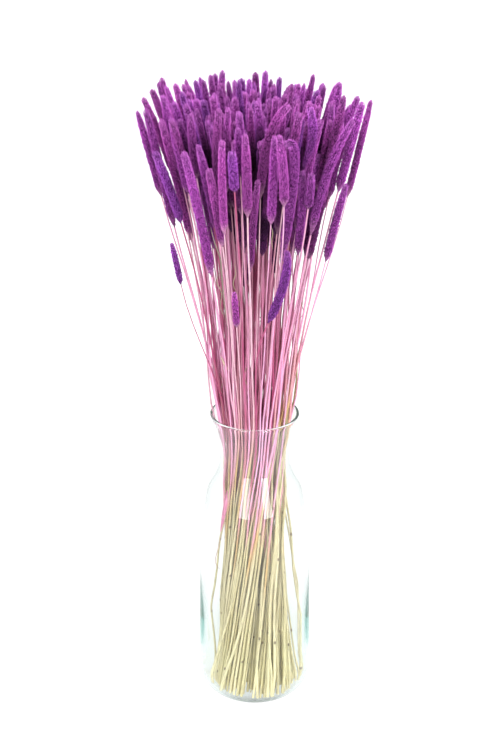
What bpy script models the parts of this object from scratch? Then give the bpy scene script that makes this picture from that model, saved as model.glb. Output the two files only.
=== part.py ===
"""A bunch of dyed, dried timothy grass standing in a clear glass bottle vase.

The origin is the centre of the vase's flat foot, with +Z up and the front of the
bunch towards -Y. Every stalk is one grown piece: a thin straw with its seed spike.
"""

import cmath
import itertools
import math
import random

import bmesh
import bpy
from mathutils import Vector

# Vase, in metres.
VASE_HEIGHT = 0.300
BODY_RADIUS = 0.0550
FOOT_RADIUS = 0.0400
FOOT_INSET = 0.004
HEEL_HEIGHT = 0.023
WALL = 0.0028
FLOOR_THICKNESS = 0.0060
# Half-widths of the rounded inner heel, across and up.
INNER_HEEL = (0.0150, 0.0210)
RIM_RADIUS = 0.0423
LIP_RADIUS = 0.0014
LIP_ARC = (-30, 210)
VASE_SIDES = 36
SHARP_ANGLE = 50
# Outer wall above the heel, as (radius, height): body, shoulder, neck and flared mouth.
WALL_STATIONS = (
    (0.0548, 0.080), (0.0532, 0.150), (0.0512, 0.185), (0.0496, 0.203), (0.0462, 0.219),
    (0.0388, 0.234), (0.0350, 0.248), (0.0351, 0.264), (0.0384, 0.283),
)

# Bunch: a stalk's place is where it passes through the waist plane, seen from above.
WAIST_HEIGHT = 0.274
WAIST_RADIUS = 0.0292
BUNCH_CENTRE = complex(0.0, -0.0005)
BEND_SOFTNESS = 0.020
TWIST_BELOW = complex(1.2, 4.3)
TWIST_ABOVE = complex(4.0, 0.5)
FLARE = (-1.8, 24.8)
RIM_CLEAR_HEIGHT = 0.300
STEM_ROOM = 0.0031
SETTLING_ROUNDS = 60
GAP = 0.0004

# Stalks.
STALK_COUNT = 59
STALK_SIDES = 6
STEM_RADIUS_FOOT = 0.00135
STEM_RADIUS_TOP = 0.00080
STEM_HEIGHTS = (0.165, 0.225, 0.300, 0.385)
LEAST_STEP = 0.020
SPIKE_STATIONS = ((0.05, 0.72), (0.28, 1.0), (0.66, 0.92), (0.93, 0.56))
SEED = 5

# Spikes placed by hand, in millimetres: foot of the spike, tip, and width.
# They make the front row, both flanks and the crown's outline.
PLACED_SPIKES = (
    ((-84, 6, 512), (-104, 4, 592), 7.6),
    ((-72, -12, 489), (-94, -34, 604), 8.0),
    ((-65, -36, 501), (-87, -40, 568), 8.4),
    ((-57, 2, 470), (-80, -52, 600), 8.4),
    ((-54, -30, 520), (-70, -64, 602), 8.0),
    ((-38, -48, 455), (-60, -78, 579), 8.8),
    ((-50, -44, 545), (-54, -72, 610), 8.0),
    ((-33, -48, 498), (-48, -74, 584), 8.6),
    ((-28, -58, 487), (-39, -84, 566), 8.2),
    ((-26, -72, 503), (-27, -99, 595), 7.2),
    ((-17, -85, 546), (-19, -102, 586), 8.8),
    ((-12, -74, 556), (-14, -90, 603), 7.8),
    ((-6, -76, 520), (-8, -98, 600), 8.6),
    ((-4, -52, 461), (3, -77, 554), 6.8),
    ((25, -89, 534), (20, -104, 601), 8.6),
    ((14, -70, 511), (17, -91, 596), 8.2),
    ((27, -60, 542), (38, -84, 614), 8.0),
    ((46, -71, 526), (48, -82, 561), 8.2),
    ((38, -52, 477), (41, -76, 562), 8.0),
    ((64, -22, 460), (80, -44, 540), 7.6),
    ((60, -34, 530), (76, -50, 620), 8.2),
    ((74, -18, 524), (93, -30, 609), 8.4),
    ((84, 10, 510), (102, -8, 605), 6.8),
    ((62, 6, 528), (75, 12, 616), 8.4),
    ((6, 40, 528), (10, 60, 614), 7.0),
    ((-30, 40, 512), (-29, 58, 615), 7.6),
    ((-70, 40, 528), (-84, 50, 610), 7.8),
    ((-16, -59, 411), (-18, -65, 447), 6.2),
    ((-66, -38, 444), (-73, -52, 488), 5.8),
)
# Spikes that hang or nod: foot, the point they bend towards, tip, and width.
BENT_SPIKES = (
    ((23, -64, 474), (43, -94, 606), (25, -107, 592), 9.0),
    ((5, -62, 532), (7, -76, 600), (29, -88, 622), 8.2),
    ((43, -56, 554), (53, -70, 591), (46, -82, 618), 8.6),
    ((49, -56, 497), (61, -66, 568), (84, -62, 602), 8.2),
    ((12, -66, 418), (31, -72, 461), (28, -80, 491), 8.4),
)
PLACED_BEND = 0.5

# Spikes that fill the rest of the bunch.
CROWN_HEIGHT = 0.612
CROWN_DROP = 0.018
CROWN_VARIATION = 0.010
SPIKE_LENGTHS = (0.072, 0.112)
SPIKE_WIDTHS = (0.0068, 0.0086)
OUTWARD_LEAN = 1.05
TRIES_PER_PLACE = 160
# The back of the neck is left open along this sector, as (from, to) degrees.
OPEN_SECTOR = (66.0, 124.0)
OPEN_FROM_RADIUS = 0.0225


def material(name, colour, roughness, **sockets):
    """A Principled material with its colour and roughness."""
    made = bpy.data.materials.new(name)
    made.use_nodes = True
    made.diffuse_color = (*colour, 1.0)
    shader = made.node_tree.nodes["Principled BSDF"]
    shader.inputs["Base Color"].default_value = (*colour, 1.0)
    shader.inputs["Roughness"].default_value = roughness
    for socket, value in sockets.items():
        shader.inputs[socket.replace("_", " ")].default_value = value
    return made


def clear_scene():
    """Take every object out of the scene."""
    for thing in list(bpy.data.objects):
        bpy.data.objects.remove(thing, do_unlink=True)


def add_object(name, mesh_data, materials):
    """Put a finished bmesh in the scene as one smooth-shaded object."""
    bmesh.ops.recalc_face_normals(mesh_data, faces=mesh_data.faces)
    mesh = bpy.data.meshes.new(name)
    mesh_data.to_mesh(mesh)
    mesh_data.free()
    for entry in materials:
        mesh.materials.append(entry)
    mesh.shade_smooth()
    mesh.set_sharp_from_angle(angle=math.radians(SHARP_ANGLE))
    made = bpy.data.objects.new(name, mesh)
    bpy.context.scene.collection.objects.link(made)
    return made


def arc(centre, across, up, start, end, steps):
    """Points of an oval arc in the (radius, height) plane, angles in degrees."""
    points = []
    for step in range(steps + 1):
        angle = math.radians(start + (end - start) * step / steps)
        points.append((centre[0] + across * math.cos(angle), centre[1] + up * math.sin(angle)))
    return points


def offset_inward(points, distance):
    """The same line moved towards the axis, square to itself."""
    moved = []
    for index, (radius, height) in enumerate(points):
        before = points[max(index - 1, 0)]
        after = points[min(index + 1, len(points) - 1)]
        run = Vector((after[0] - before[0], after[1] - before[1])).normalized()
        moved.append((radius - distance * run.y, height + distance * run.x))
    return moved


def vase_profile():
    """The glass wall's closed section, from the foot's centre round to the floor's centre."""
    heel_centre = (FOOT_RADIUS, HEEL_HEIGHT)
    outer = [(FOOT_RADIUS - FOOT_INSET, 0.0)]
    outer += arc(heel_centre, BODY_RADIUS - FOOT_RADIUS, HEEL_HEIGHT, -90, 0, 6)
    outer += list(WALL_STATIONS)
    lip_centre = (RIM_RADIUS - LIP_RADIUS, VASE_HEIGHT - LIP_RADIUS)
    lip = arc(lip_centre, LIP_RADIUS, LIP_RADIUS, *LIP_ARC, 4)
    inner = offset_inward(list(WALL_STATIONS), WALL)[::-1]
    inner_centre = (BODY_RADIUS - WALL - INNER_HEEL[0], FLOOR_THICKNESS + INNER_HEEL[1])
    inner += arc(inner_centre, *INNER_HEEL, 0, -90, 4)
    return outer + lip + inner


def build_vase(glass):
    """Turn the section once round the axis, with a flat foot and a flat floor."""
    shape = bmesh.new()
    profile = vase_profile()
    rings = []
    for radius, height in profile:
        ring = []
        for side in range(VASE_SIDES):
            angle = math.tau * side / VASE_SIDES
            ring.append(shape.verts.new((radius * math.cos(angle), radius * math.sin(angle), height)))
        rings.append(ring)
    for lower, upper in zip(rings, rings[1:]):
        join_rings(shape, lower, upper)
    shape.faces.new(rings[0])
    shape.faces.new(rings[-1])
    return add_object("vase", shape, [glass])


def join_rings(shape, lower, upper):
    """Quads between two rings of the same number of points."""
    count = len(lower)
    faces = []
    for side in range(count):
        after = (side + 1) % count
        faces.append(shape.faces.new((lower[side], lower[after], upper[after], upper[side])))
    return faces


def spread(height):
    """How the bunch has widened and turned at a height: it multiplies a stalk's place."""
    rise = height - WAIST_HEIGHT
    hinge = (rise + math.hypot(rise, BEND_SOFTNESS)) / 2
    flare = max(rise, 0.0) ** 2 * FLARE[0] + max(rise, 0.0) ** 3 * FLARE[1]
    return 1 + TWIST_BELOW * rise + (TWIST_ABOVE - TWIST_BELOW) * hinge + flare


def spread_slope(height):
    """The rate at which spread changes with height."""
    step = 0.001
    return (spread(height + step) - spread(height - step)) / (2 * step)


def flat(point):
    """A point's place seen from above, as a complex number."""
    return complex(point.x, point.y)


def floor_height(radius):
    """Height of the vase's inner floor at a radius, with its rounded heel."""
    across, up = INNER_HEEL
    past = max(radius - (BODY_RADIUS - WALL - across), 0.0) / across
    return FLOOR_THICKNESS + up * (1 - math.sqrt(1 - past**2))


def stem_centre(stalk, height):
    """Centre of a stem at a height: it follows the bunch, then leans over to its own spike."""
    centre = BUNCH_CENTRE + stalk["place"] * spread(height)
    reach = stalk["foot"].z - RIM_CLEAR_HEIGHT
    share = (height - RIM_CLEAR_HEIGHT) / reach
    if share > 0:
        square, cube = stalk["lean"]
        centre += square * share**2 + cube * share**3
    return Vector((centre.real, centre.imag, height))


def make_stalk(place, foot, bend, tip, width):
    """A stalk's path: its stem meets the spike's foot along the spike's own direction."""
    reach = foot.z - RIM_CLEAR_HEIGHT
    aim = bend - foot
    slope = flat(aim) / aim.z
    off = flat(foot) - BUNCH_CENTRE - place * spread(foot.z)
    turn = (slope - place * spread_slope(foot.z)) * reach
    lean = (3 * off - turn, turn - 2 * off)
    return {"place": place, "foot": foot, "bend": bend, "tip": tip, "width": width, "lean": lean}


def spike_point(stalk, share):
    """A point along the spike's curved centre line, from its foot at 0 to its tip at 1."""
    back = 1 - share
    middle = stalk["bend"] * (2 * back * share)
    return stalk["foot"] * back**2 + middle + stalk["tip"] * share**2


def place_under(foot):
    """The place from which a stalk reaches a foot, kept inside the waist."""
    place = (flat(foot) - BUNCH_CENTRE) / spread(foot.z)
    return place * min(1.0, WAIST_RADIUS / abs(place))


def natural_bend(foot, tip, place):
    """The point a spike bends towards, between straight and the way its stem was growing."""
    straight = (foot + tip) / 2
    growth = place * spread_slope(foot.z)
    grown = foot + Vector((growth.real, growth.imag, 1)) * (straight.z - foot.z)
    return straight.lerp(grown, PLACED_BEND)


def settle(places):
    """Push stems that stand too close apart, and keep them inside the waist."""
    places = list(places)
    for _ in range(SETTLING_ROUNDS):
        for first, second in itertools.combinations(range(len(places)), 2):
            between = places[second] - places[first]
            lack = STEM_ROOM - abs(between)
            if lack > 0:
                push = between / abs(between) * lack / 2
                places[first] -= push
                places[second] += push
        places = [place * min(1.0, WAIST_RADIUS / abs(place)) for place in places]
    return places


def placed_stalks():
    """The stalks whose spikes are placed by hand."""
    spikes = [(foot, None, tip, width) for foot, tip, width in PLACED_SPIKES]
    spikes += BENT_SPIKES
    feet = [Vector(spike[0]) / 1000 for spike in spikes]
    places = settle(place_under(foot) for foot in feet)
    stalks = []
    for place, foot, (_, bend, tip, width) in zip(places, feet, spikes):
        tip = Vector(tip) / 1000
        bend = Vector(bend) / 1000 if bend else natural_bend(foot, tip, place)
        stalks.append(make_stalk(place, foot, bend, tip, width / 1000))
    return stalks


def in_open_sector(place):
    """Whether a place lies in the part of the neck that is left open."""
    angle = math.degrees(cmath.phase(place))
    return abs(place) > OPEN_FROM_RADIUS and OPEN_SECTOR[0] < angle < OPEN_SECTOR[1]


def next_place(taken, chance):
    """The free place farthest from those taken, out of a number of random tries."""
    best, best_room = None, -1.0
    for _ in range(TRIES_PER_PLACE):
        radius = WAIST_RADIUS * math.sqrt(chance.random())
        place = cmath.rect(radius, math.tau * chance.random())
        if in_open_sector(place):
            continue
        room = min(abs(place - other) for other in taken)
        if room > best_room:
            best, best_room = place, room
    return best


def filling_stalk(place, chance):
    """A stalk that grows straight up through the bunch to the crown."""
    edge = abs(place) / WAIST_RADIUS
    top = CROWN_HEIGHT - CROWN_DROP * edge**2 + chance.uniform(-CROWN_VARIATION, CROWN_VARIATION)
    length = chance.uniform(*SPIKE_LENGTHS)
    width = chance.uniform(*SPIKE_WIDTHS)
    points = []
    for height, lean in ((top - length, 1.0), (top - length / 2, 1.0), (top, OUTWARD_LEAN)):
        centre = BUNCH_CENTRE + place * spread(height) * lean
        points.append(Vector((centre.real, centre.imag, height)))
    return make_stalk(place, *points, width)


def all_stalks():
    """Every stalk of the bunch: those placed by hand, then those that fill it."""
    chance = random.Random(SEED)
    stalks = placed_stalks()
    while len(stalks) < STALK_COUNT:
        place = next_place([stalk["place"] for stalk in stalks], chance)
        stalks.append(filling_stalk(place, chance))
    return stalks


def stalk_line(stalk):
    """The stalk's centre line as (point, radius, is it spike), from its cut end to its tip."""
    start = BUNCH_CENTRE + stalk["place"] * spread(FLOOR_THICKNESS)
    foot_height = floor_height(abs(start) + STEM_RADIUS_FOOT) + GAP
    heights = [foot_height]
    heights += [z for z in STEM_HEIGHTS if z < stalk["foot"].z - LEAST_STEP]
    line = []
    for height in heights:
        share = height / stalk["foot"].z
        radius = STEM_RADIUS_FOOT + (STEM_RADIUS_TOP - STEM_RADIUS_FOOT) * share
        line.append((stem_centre(stalk, height), radius, False))
    line.append((stalk["foot"], STEM_RADIUS_TOP, False))
    for share, fullness in SPIKE_STATIONS:
        line.append((spike_point(stalk, share), stalk["width"] / 2 * fullness, True))
    line.append((stalk["tip"], 0.0, True))
    return line


def build_stalk(name, stalk, straw, seed_head):
    """Loft the stalk from its cut end to its tip. Lower rings lie level, spike rings turn."""
    shape = bmesh.new()
    line = stalk_line(stalk)
    side_way = Vector((1, 0, 0))
    rings = []
    for index, (centre, radius, _) in enumerate(line[:-1]):
        before = line[max(index - 1, 0)][0]
        along = (line[index + 1][0] - before).normalized()
        if index == 0:
            along = Vector((0, 0, 1))
        side_way = (side_way - along * side_way.dot(along)).normalized()
        cross = along.cross(side_way)
        ring = []
        for side in range(STALK_SIDES):
            angle = math.tau * side / STALK_SIDES
            offset = side_way * math.cos(angle) + cross * math.sin(angle)
            ring.append(shape.verts.new(centre + offset * radius))
        rings.append(ring)
    for index, (lower, upper) in enumerate(zip(rings, rings[1:])):
        for face in join_rings(shape, lower, upper):
            face.material_index = int(line[index + 1][2])
    shape.faces.new(rings[0])
    tip = shape.verts.new(line[-1][0])
    for side, corner in enumerate(rings[-1]):
        face = shape.faces.new((corner, rings[-1][(side + 1) % STALK_SIDES], tip))
        face.material_index = 1
    return add_object(name, shape, [straw, seed_head])


def main():
    clear_scene()
    glass = material(
        "clear_glass", (0.93, 0.97, 0.96), 0.02, Transmission_Weight=1.0, IOR=1.5
    )
    straw = material("dyed_straw", (0.72, 0.26, 0.50), 0.55)
    seed_head = material("dyed_seed_head", (0.25, 0.05, 0.36), 0.85)
    build_vase(glass)
    for number, stalk in enumerate(all_stalks(), start=1):
        build_stalk(f"stalk_{number:02d}", stalk, straw, seed_head)


if __name__ == "__main__":
    main()
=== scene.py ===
"""Visual model of a glass bottle vase that holds a bunch of dyed, dried timothy grass.

The solids are loaded as a fixed frame. Each stalk's solid is replaced by a detailed stalk
on the same line, more stalks fill the bunch between them, and a smooth glass vase
replaces the faceted one.
"""

import cmath
import itertools
import math
import random

import bpy
import numpy as np
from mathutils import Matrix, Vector


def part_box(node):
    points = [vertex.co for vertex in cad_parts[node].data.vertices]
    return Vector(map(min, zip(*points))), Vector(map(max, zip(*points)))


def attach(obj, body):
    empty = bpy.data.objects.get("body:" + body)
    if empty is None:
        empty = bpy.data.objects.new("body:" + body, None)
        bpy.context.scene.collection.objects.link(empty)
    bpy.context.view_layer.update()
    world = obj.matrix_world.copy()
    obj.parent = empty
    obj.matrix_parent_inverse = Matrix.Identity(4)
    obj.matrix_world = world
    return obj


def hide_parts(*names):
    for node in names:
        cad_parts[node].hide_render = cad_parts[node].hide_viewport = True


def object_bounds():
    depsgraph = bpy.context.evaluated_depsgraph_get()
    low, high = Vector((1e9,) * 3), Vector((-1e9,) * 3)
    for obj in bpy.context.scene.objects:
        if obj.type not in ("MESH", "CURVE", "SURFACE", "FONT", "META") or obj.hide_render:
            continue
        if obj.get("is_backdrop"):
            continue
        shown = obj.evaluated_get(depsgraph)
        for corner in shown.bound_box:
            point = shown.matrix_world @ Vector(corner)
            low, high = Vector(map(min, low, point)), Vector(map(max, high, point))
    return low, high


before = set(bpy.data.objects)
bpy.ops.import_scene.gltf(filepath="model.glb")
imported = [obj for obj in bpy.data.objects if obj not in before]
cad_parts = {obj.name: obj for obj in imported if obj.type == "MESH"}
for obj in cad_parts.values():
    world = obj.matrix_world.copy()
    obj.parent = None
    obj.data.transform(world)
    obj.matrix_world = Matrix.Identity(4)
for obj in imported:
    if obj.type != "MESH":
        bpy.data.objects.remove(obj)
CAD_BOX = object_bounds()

bl_info = {
    "name": "Vase of Dried Timothy Grass",
    "version": (1, 0, 0),
    "blender": (4, 5, 0),
    "location": "View3D > Sidebar > Timothy",
    "description": "Builds a glass vase with a bunch of dyed, dried timothy grass",
    "category": "Add Mesh",
}

VASE_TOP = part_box("vase")[1].z
STALK_NODES = sorted(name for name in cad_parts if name.startswith("stalk_"))
BODY = "root"

# ---------------------------------------------------------------------------
# The bunch's layout, which the solids follow too. Metres, +Z up, front at -Y.
# ---------------------------------------------------------------------------

BODY_RADIUS = 0.0550
FOOT_RADIUS = 0.0400
HEEL_HEIGHT = 0.023
RIM_RADIUS = 0.0423
LIP_ARC = (-30, 210)
# Outer wall above the heel, as (radius, height): body, shoulder, neck and flared mouth.
WALL_STATIONS = (
    (0.0548, 0.080), (0.0532, 0.150), (0.0512, 0.185), (0.0496, 0.203), (0.0462, 0.219),
    (0.0388, 0.234), (0.0350, 0.248), (0.0351, 0.264), (0.0384, 0.283),
)

# The waist, where the bunch is narrowest: a stalk's place is where it passes through.
WAIST_HEIGHT, WAIST_RADIUS = 0.274, 0.0292
BUNCH_CENTRE = complex(0.0, -0.0005)
# Widening (real) and turning (imaginary) per metre from the waist, and the soft bend between.
TWIST_BELOW, TWIST_ABOVE = complex(1.2, 4.3), complex(4.0, 0.5)
BEND_SOFTNESS = 0.020
# Further widening by the square and the cube of the rise.
FLARE = (-1.8, 24.8)
# Above this height a stem leans over to its own spike.
RIM_CLEAR_HEIGHT = 0.300
# Least distance between stems at the waist, and the rounds of pushing that bring it about.
STEM_ROOM, SETTLING_ROUNDS = 0.0031, 60
# Height of the stems' cut ends over the glass.
GAP = 0.0004
SEED = 5

# Spikes placed one by one, in millimetres: foot of the spike, tip, and width.
PLACED_SPIKES = (
    ((-84, 6, 512), (-104, 4, 592), 7.6),
    ((-72, -12, 489), (-94, -34, 604), 8.0),
    ((-65, -36, 501), (-87, -40, 568), 8.4),
    ((-57, 2, 470), (-80, -52, 600), 8.4),
    ((-54, -30, 520), (-70, -64, 602), 8.0),
    ((-38, -48, 455), (-60, -78, 579), 8.8),
    ((-50, -44, 545), (-54, -72, 610), 8.0),
    ((-33, -48, 498), (-48, -74, 584), 8.6),
    ((-28, -58, 487), (-39, -84, 566), 8.2),
    ((-26, -72, 503), (-27, -99, 595), 7.2),
    ((-17, -85, 546), (-19, -102, 586), 8.8),
    ((-12, -74, 556), (-14, -90, 603), 7.8),
    ((-6, -76, 520), (-8, -98, 600), 8.6),
    ((-4, -52, 461), (3, -77, 554), 6.8),
    ((25, -89, 534), (20, -104, 601), 8.6),
    ((14, -70, 511), (17, -91, 596), 8.2),
    ((27, -60, 542), (38, -84, 614), 8.0),
    ((46, -71, 526), (48, -82, 561), 8.2),
    ((38, -52, 477), (41, -76, 562), 8.0),
    ((64, -22, 460), (80, -44, 540), 7.6),
    ((60, -34, 530), (76, -50, 620), 8.2),
    ((74, -18, 524), (93, -30, 609), 8.4),
    ((84, 10, 510), (102, -8, 605), 6.8),
    ((62, 6, 528), (75, 12, 616), 8.4),
    ((6, 40, 528), (10, 60, 614), 7.0),
    ((-30, 40, 512), (-29, 58, 615), 7.6),
    ((-70, 40, 528), (-84, 50, 610), 7.8),
    ((-16, -59, 411), (-18, -65, 447), 6.2),
    ((-66, -38, 444), (-73, -52, 488), 5.8),
)
# Spikes that hang or nod: foot, the point they bend towards, tip, and width.
BENT_SPIKES = (
    ((23, -64, 474), (43, -94, 606), (25, -107, 592), 9.0),
    ((5, -62, 532), (7, -76, 600), (29, -88, 622), 8.2),
    ((43, -56, 554), (53, -70, 591), (46, -82, 618), 8.6),
    ((49, -56, 497), (61, -66, 568), (84, -62, 602), 8.2),
    ((12, -66, 418), (31, -72, 461), (28, -80, 491), 8.4),
)
# How far a placed spike bends from straight towards the way its stem was growing.
PLACED_BEND = 0.5
# Height of the spikes' tips, how much lower they are at the edge, and how much they vary.
CROWN_HEIGHT, CROWN_DROP, CROWN_VARIATION = 0.612, 0.018, 0.010
SPIKE_LENGTHS, SPIKE_WIDTHS = (0.072, 0.112), (0.0068, 0.0086)
OUTWARD_LEAN = 1.05
TRIES_PER_PLACE = 160
# The part of the neck that is left open: between two angles, outside a radius.
OPEN_SECTOR, OPEN_FROM_RADIUS = (66.0, 124.0), 0.0225
# Step of height for the slope of the spread.
SLOPE_STEP = 0.001
# How far a stalk's top may be off its solid's, and its ends outside the solid's box.
TOP_TOLERANCE, LINE_TOLERANCE = 0.004, 0.001


def spread(height):
    """How the bunch has widened and turned at a height: it multiplies a stalk's place."""
    rise = height - WAIST_HEIGHT
    hinge = (rise + math.hypot(rise, BEND_SOFTNESS)) / 2
    above = max(rise, 0.0)
    flare = above**2 * FLARE[0] + above**3 * FLARE[1]
    return 1 + TWIST_BELOW * rise + (TWIST_ABOVE - TWIST_BELOW) * hinge + flare


def spread_slope(height):
    """The rate at which spread changes with height."""
    return (spread(height + SLOPE_STEP) - spread(height - SLOPE_STEP)) / (2 * SLOPE_STEP)


def flat(point):
    """A point's place seen from above, as a complex number."""
    return complex(point.x, point.y)


def point_over(place, height):
    """The point at a height over a place that is a complex number."""
    return Vector((place.real, place.imag, height))


def floor_height(radius):
    """Height of the vase's inner floor at a radius, with its rounded heel."""
    base = bpy.context.scene.timothy_vase.base
    past = min(max(radius - FOOT_RADIUS, 0.0) / (BODY_RADIUS - FOOT_RADIUS - base), 1.0)
    return base + (HEEL_HEIGHT - base) * (1 - math.sqrt(1 - past**2))


def stem_centre(stalk, height):
    """Centre of a stem at a height: it follows the bunch, then leans over to its own spike."""
    centre = BUNCH_CENTRE + stalk["place"] * spread(height)
    share = (height - RIM_CLEAR_HEIGHT) / (stalk["foot"].z - RIM_CLEAR_HEIGHT)
    if share > 0:
        square, cube = stalk["lean"]
        centre += square * share**2 + cube * share**3
    return point_over(centre, height)


def make_stalk(place, foot, bend, tip, width):
    """A stalk's path: its stem meets the spike's foot along the spike's own direction."""
    reach = foot.z - RIM_CLEAR_HEIGHT
    aim = bend - foot
    slope = flat(aim) / aim.z
    off = flat(foot) - BUNCH_CENTRE - place * spread(foot.z)
    turn = (slope - place * spread_slope(foot.z)) * reach
    lean = (3 * off - turn, turn - 2 * off)
    return {"place": place, "foot": foot, "bend": bend, "tip": tip, "width": width, "lean": lean}


def inside(place, radius=WAIST_RADIUS):
    """A place moved in, where it lies past the waist or another radius."""
    return place * min(1.0, radius / abs(place))


def place_under(foot):
    """The place from which a stalk reaches a foot, kept inside the waist."""
    return inside((flat(foot) - BUNCH_CENTRE) / spread(foot.z))


def natural_bend(foot, tip, place):
    """The point a spike bends towards, between straight and the way its stem was growing."""
    straight = (foot + tip) / 2
    grown = foot + point_over(place * spread_slope(foot.z), 1) * (straight.z - foot.z)
    return straight.lerp(grown, PLACED_BEND)


def settle(places):
    """Push stems that stand too close apart, and keep them inside the waist."""
    places = list(places)
    for _ in range(SETTLING_ROUNDS):
        for first, second in itertools.combinations(range(len(places)), 2):
            between = places[second] - places[first]
            lack = STEM_ROOM - abs(between)
            if lack > 0:
                push = between / abs(between) * lack / 2
                places[first] -= push
                places[second] += push
        places = [inside(place) for place in places]
    return places


def placed_stalks():
    """The stalks whose spikes are listed."""
    spikes = [(foot, None, tip, width) for foot, tip, width in PLACED_SPIKES] + [*BENT_SPIKES]
    feet = [Vector(spike[0]) / 1000 for spike in spikes]
    places = settle(place_under(foot) for foot in feet)
    stalks = []
    for place, foot, (_, bend, tip, width) in zip(places, feet, spikes):
        tip = Vector(tip) / 1000
        bend = Vector(bend) / 1000 if bend else natural_bend(foot, tip, place)
        stalks.append(make_stalk(place, foot, bend, tip, width / 1000))
    return stalks


def in_open_sector(place):
    """Whether a place lies in the part of the neck that is left open."""
    angle = math.degrees(cmath.phase(place))
    return abs(place) > OPEN_FROM_RADIUS and OPEN_SECTOR[0] < angle < OPEN_SECTOR[1]


def next_place(taken, chance):
    """The free place farthest from those taken, out of a number of random tries."""
    best, best_room = None, -1.0
    for _ in range(TRIES_PER_PLACE):
        radius = WAIST_RADIUS * math.sqrt(chance.random())
        place = cmath.rect(radius, math.tau * chance.random())
        if in_open_sector(place):
            continue
        room = min(abs(place - other) for other in taken)
        if room > best_room:
            best, best_room = place, room
    return best


def crown_line(place, top, length):
    """Foot, bend and tip of a spike that follows the bunch up to a height."""
    stations = ((top - length, 1.0), (top - length / 2, 1.0), (top, OUTWARD_LEAN))
    return [
        point_over(BUNCH_CENTRE + place * spread(height) * lean, height)
        for height, lean in stations
    ]


def filling_stalk(place, chance):
    """A stalk that grows straight up through the bunch to the crown."""
    edge = abs(place) / WAIST_RADIUS
    top = CROWN_HEIGHT - CROWN_DROP * edge**2 + chance.uniform(-CROWN_VARIATION, CROWN_VARIATION)
    length = chance.uniform(*SPIKE_LENGTHS)
    width = chance.uniform(*SPIKE_WIDTHS)
    return make_stalk(place, *crown_line(place, top, length), width)


def framed_stalks():
    """The stalks that have a solid in the frame, in the order of their nodes."""
    chance = random.Random(SEED)
    stalks = placed_stalks()
    while len(stalks) < len(STALK_NODES):
        place = next_place([stalk["place"] for stalk in stalks], chance)
        stalks.append(filling_stalk(place, chance))
    return stalks


def check_layout(stalks):
    """Stop if a stalk's line doesn't run through its solid."""
    for node, stalk in zip(STALK_NODES, stalks):
        low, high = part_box(node)
        ends = (stalk["foot"], stalk["tip"])
        off = max(max(low[i] - end[i], end[i] - high[i]) for end in ends for i in range(3))
        if abs(high.z - max(end.z for end in ends)) > TOP_TOLERANCE or off > LINE_TOLERANCE:
            raise RuntimeError(f"{node} is not where the layout puts it")


# ---------------------------------------------------------------------------
# Stalks that only the visual model has.
# ---------------------------------------------------------------------------

EXTRA_SEED = 23
# Places, in millimetres across and back, of heads' tips over the crown's top.
CROWN_TIPS = (
    (-98, -4), (-92, 25), (-87, 50), (-72, 45), (-65, 16), (-63, 61), (-54, 57), (-47, 59),
    (-40, 74), (-36, 12), (-24, 54), (-17, 46), (-12, 64), (-5, 62), (1, 80), (23, 69), (33, 43),
    (40, 45), (45, 46), (56, 22), (63, 38), (17, 32), (-52, -8), (-45, -12), (-34, -12),
    (-24, -1), (-17, -1), (-79, -25), (-71, -18), (-60, -25), (-50, -40), (-55, -58), (-30, -44),
    (-23, -54), (-14, -49), (-5, -19), (0, -16), (19, 0), (27, 7), (38, -10), (47, -15),
    (56, -30), (40, -70), (56, -73), (-10, 16), (4, 15),
)
CROWN_TIP_HEIGHT = 0.606
# Heads of the filling placed one by one, in millimetres: foot, tip, and width.
FILLING_SPIKES = (
    ((8, -47, 536), (2, -62, 618), 7.8),
    ((66, -11, 515), (75, -20, 589), 8.0),
    ((60, -22, 524), (67, -20, 604), 8.2),
    ((-9, -37, 520), (-13, -68, 610), 8.0),
    ((-25, -50, 532), (-22, -66, 614), 7.8),
    ((-32, -51, 524), (-30, -70, 614), 8.0),
    ((37, -38, 526), (36, -66, 610), 8.0),
    ((-58, -34, 528), (-71, -62, 603), 8.2),
    ((-65, -22, 540), (-78, -50, 620), 8.0),
    ((56, -25, 525), (65, -40, 596), 8.0),
)
# Dark slots in the front of the crown: middle and half-width of each, in millimetres across.
SLOTS = ((-3.5, 9.0), (-40.0, 7.0))
SLOT_HEIGHT, SLOT_DEPTH = 0.560, 0.010
# Share by which places move in from the front, where the placed spikes stand.
FRONT_PULL = 0.22
# How far a stalk's head strays from its place in the waist.
HEAD_STRAY = 0.0026
# How far its foot spreads beyond the twist and strays from it, as shares, and may reach.
FOOT_SPREAD, FOOT_STRAY, FOOT_REACH = 0.15, 0.34, 0.0470
SPLAY_POWER = 1.2
# Some stems bend in a knee: how many, below what height, and how far out.
KNEE_SHARE, KNEE_HEIGHTS, KNEE_REACH = 0.28, (0.030, 0.075), 0.006
# Some heads stand low: how many, and by how much.
LOW_SHARE, LOW_DROP = 0.20, (0.014, 0.060)
# Tops of the heads against the crown's height, and the heads' lengths and widths.
EXTRA_TOPS = (-0.024, -0.003)
EXTRA_LENGTHS, EXTRA_WIDTHS = (0.064, 0.112), (0.0064, 0.0086)
# How far a loose head's tip wanders, the share its bend moves back, and how far back it may be.
TIP_WANDER, COUNTER_BEND, BACK_REACH = 0.0035, 0.3, 0.0800
# Heads within this angle of the neck's open part lean in over it, by up to this share.
LEAN_IN_WITHIN, LEAN_IN = 75.0, 0.75
# The bunch swells from this height up, most where the powers of the rise balance.
BELLY_FROM, BELLY_POWERS = 0.258, (1.0, 2.8)
BELLY, LEFT_BELLY = 0.0036, 0.0068


def scatter(chance, size):
    """A random step on the flat, as a complex number."""
    return complex(chance.gauss(0, size), chance.gauss(0, size))


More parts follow.
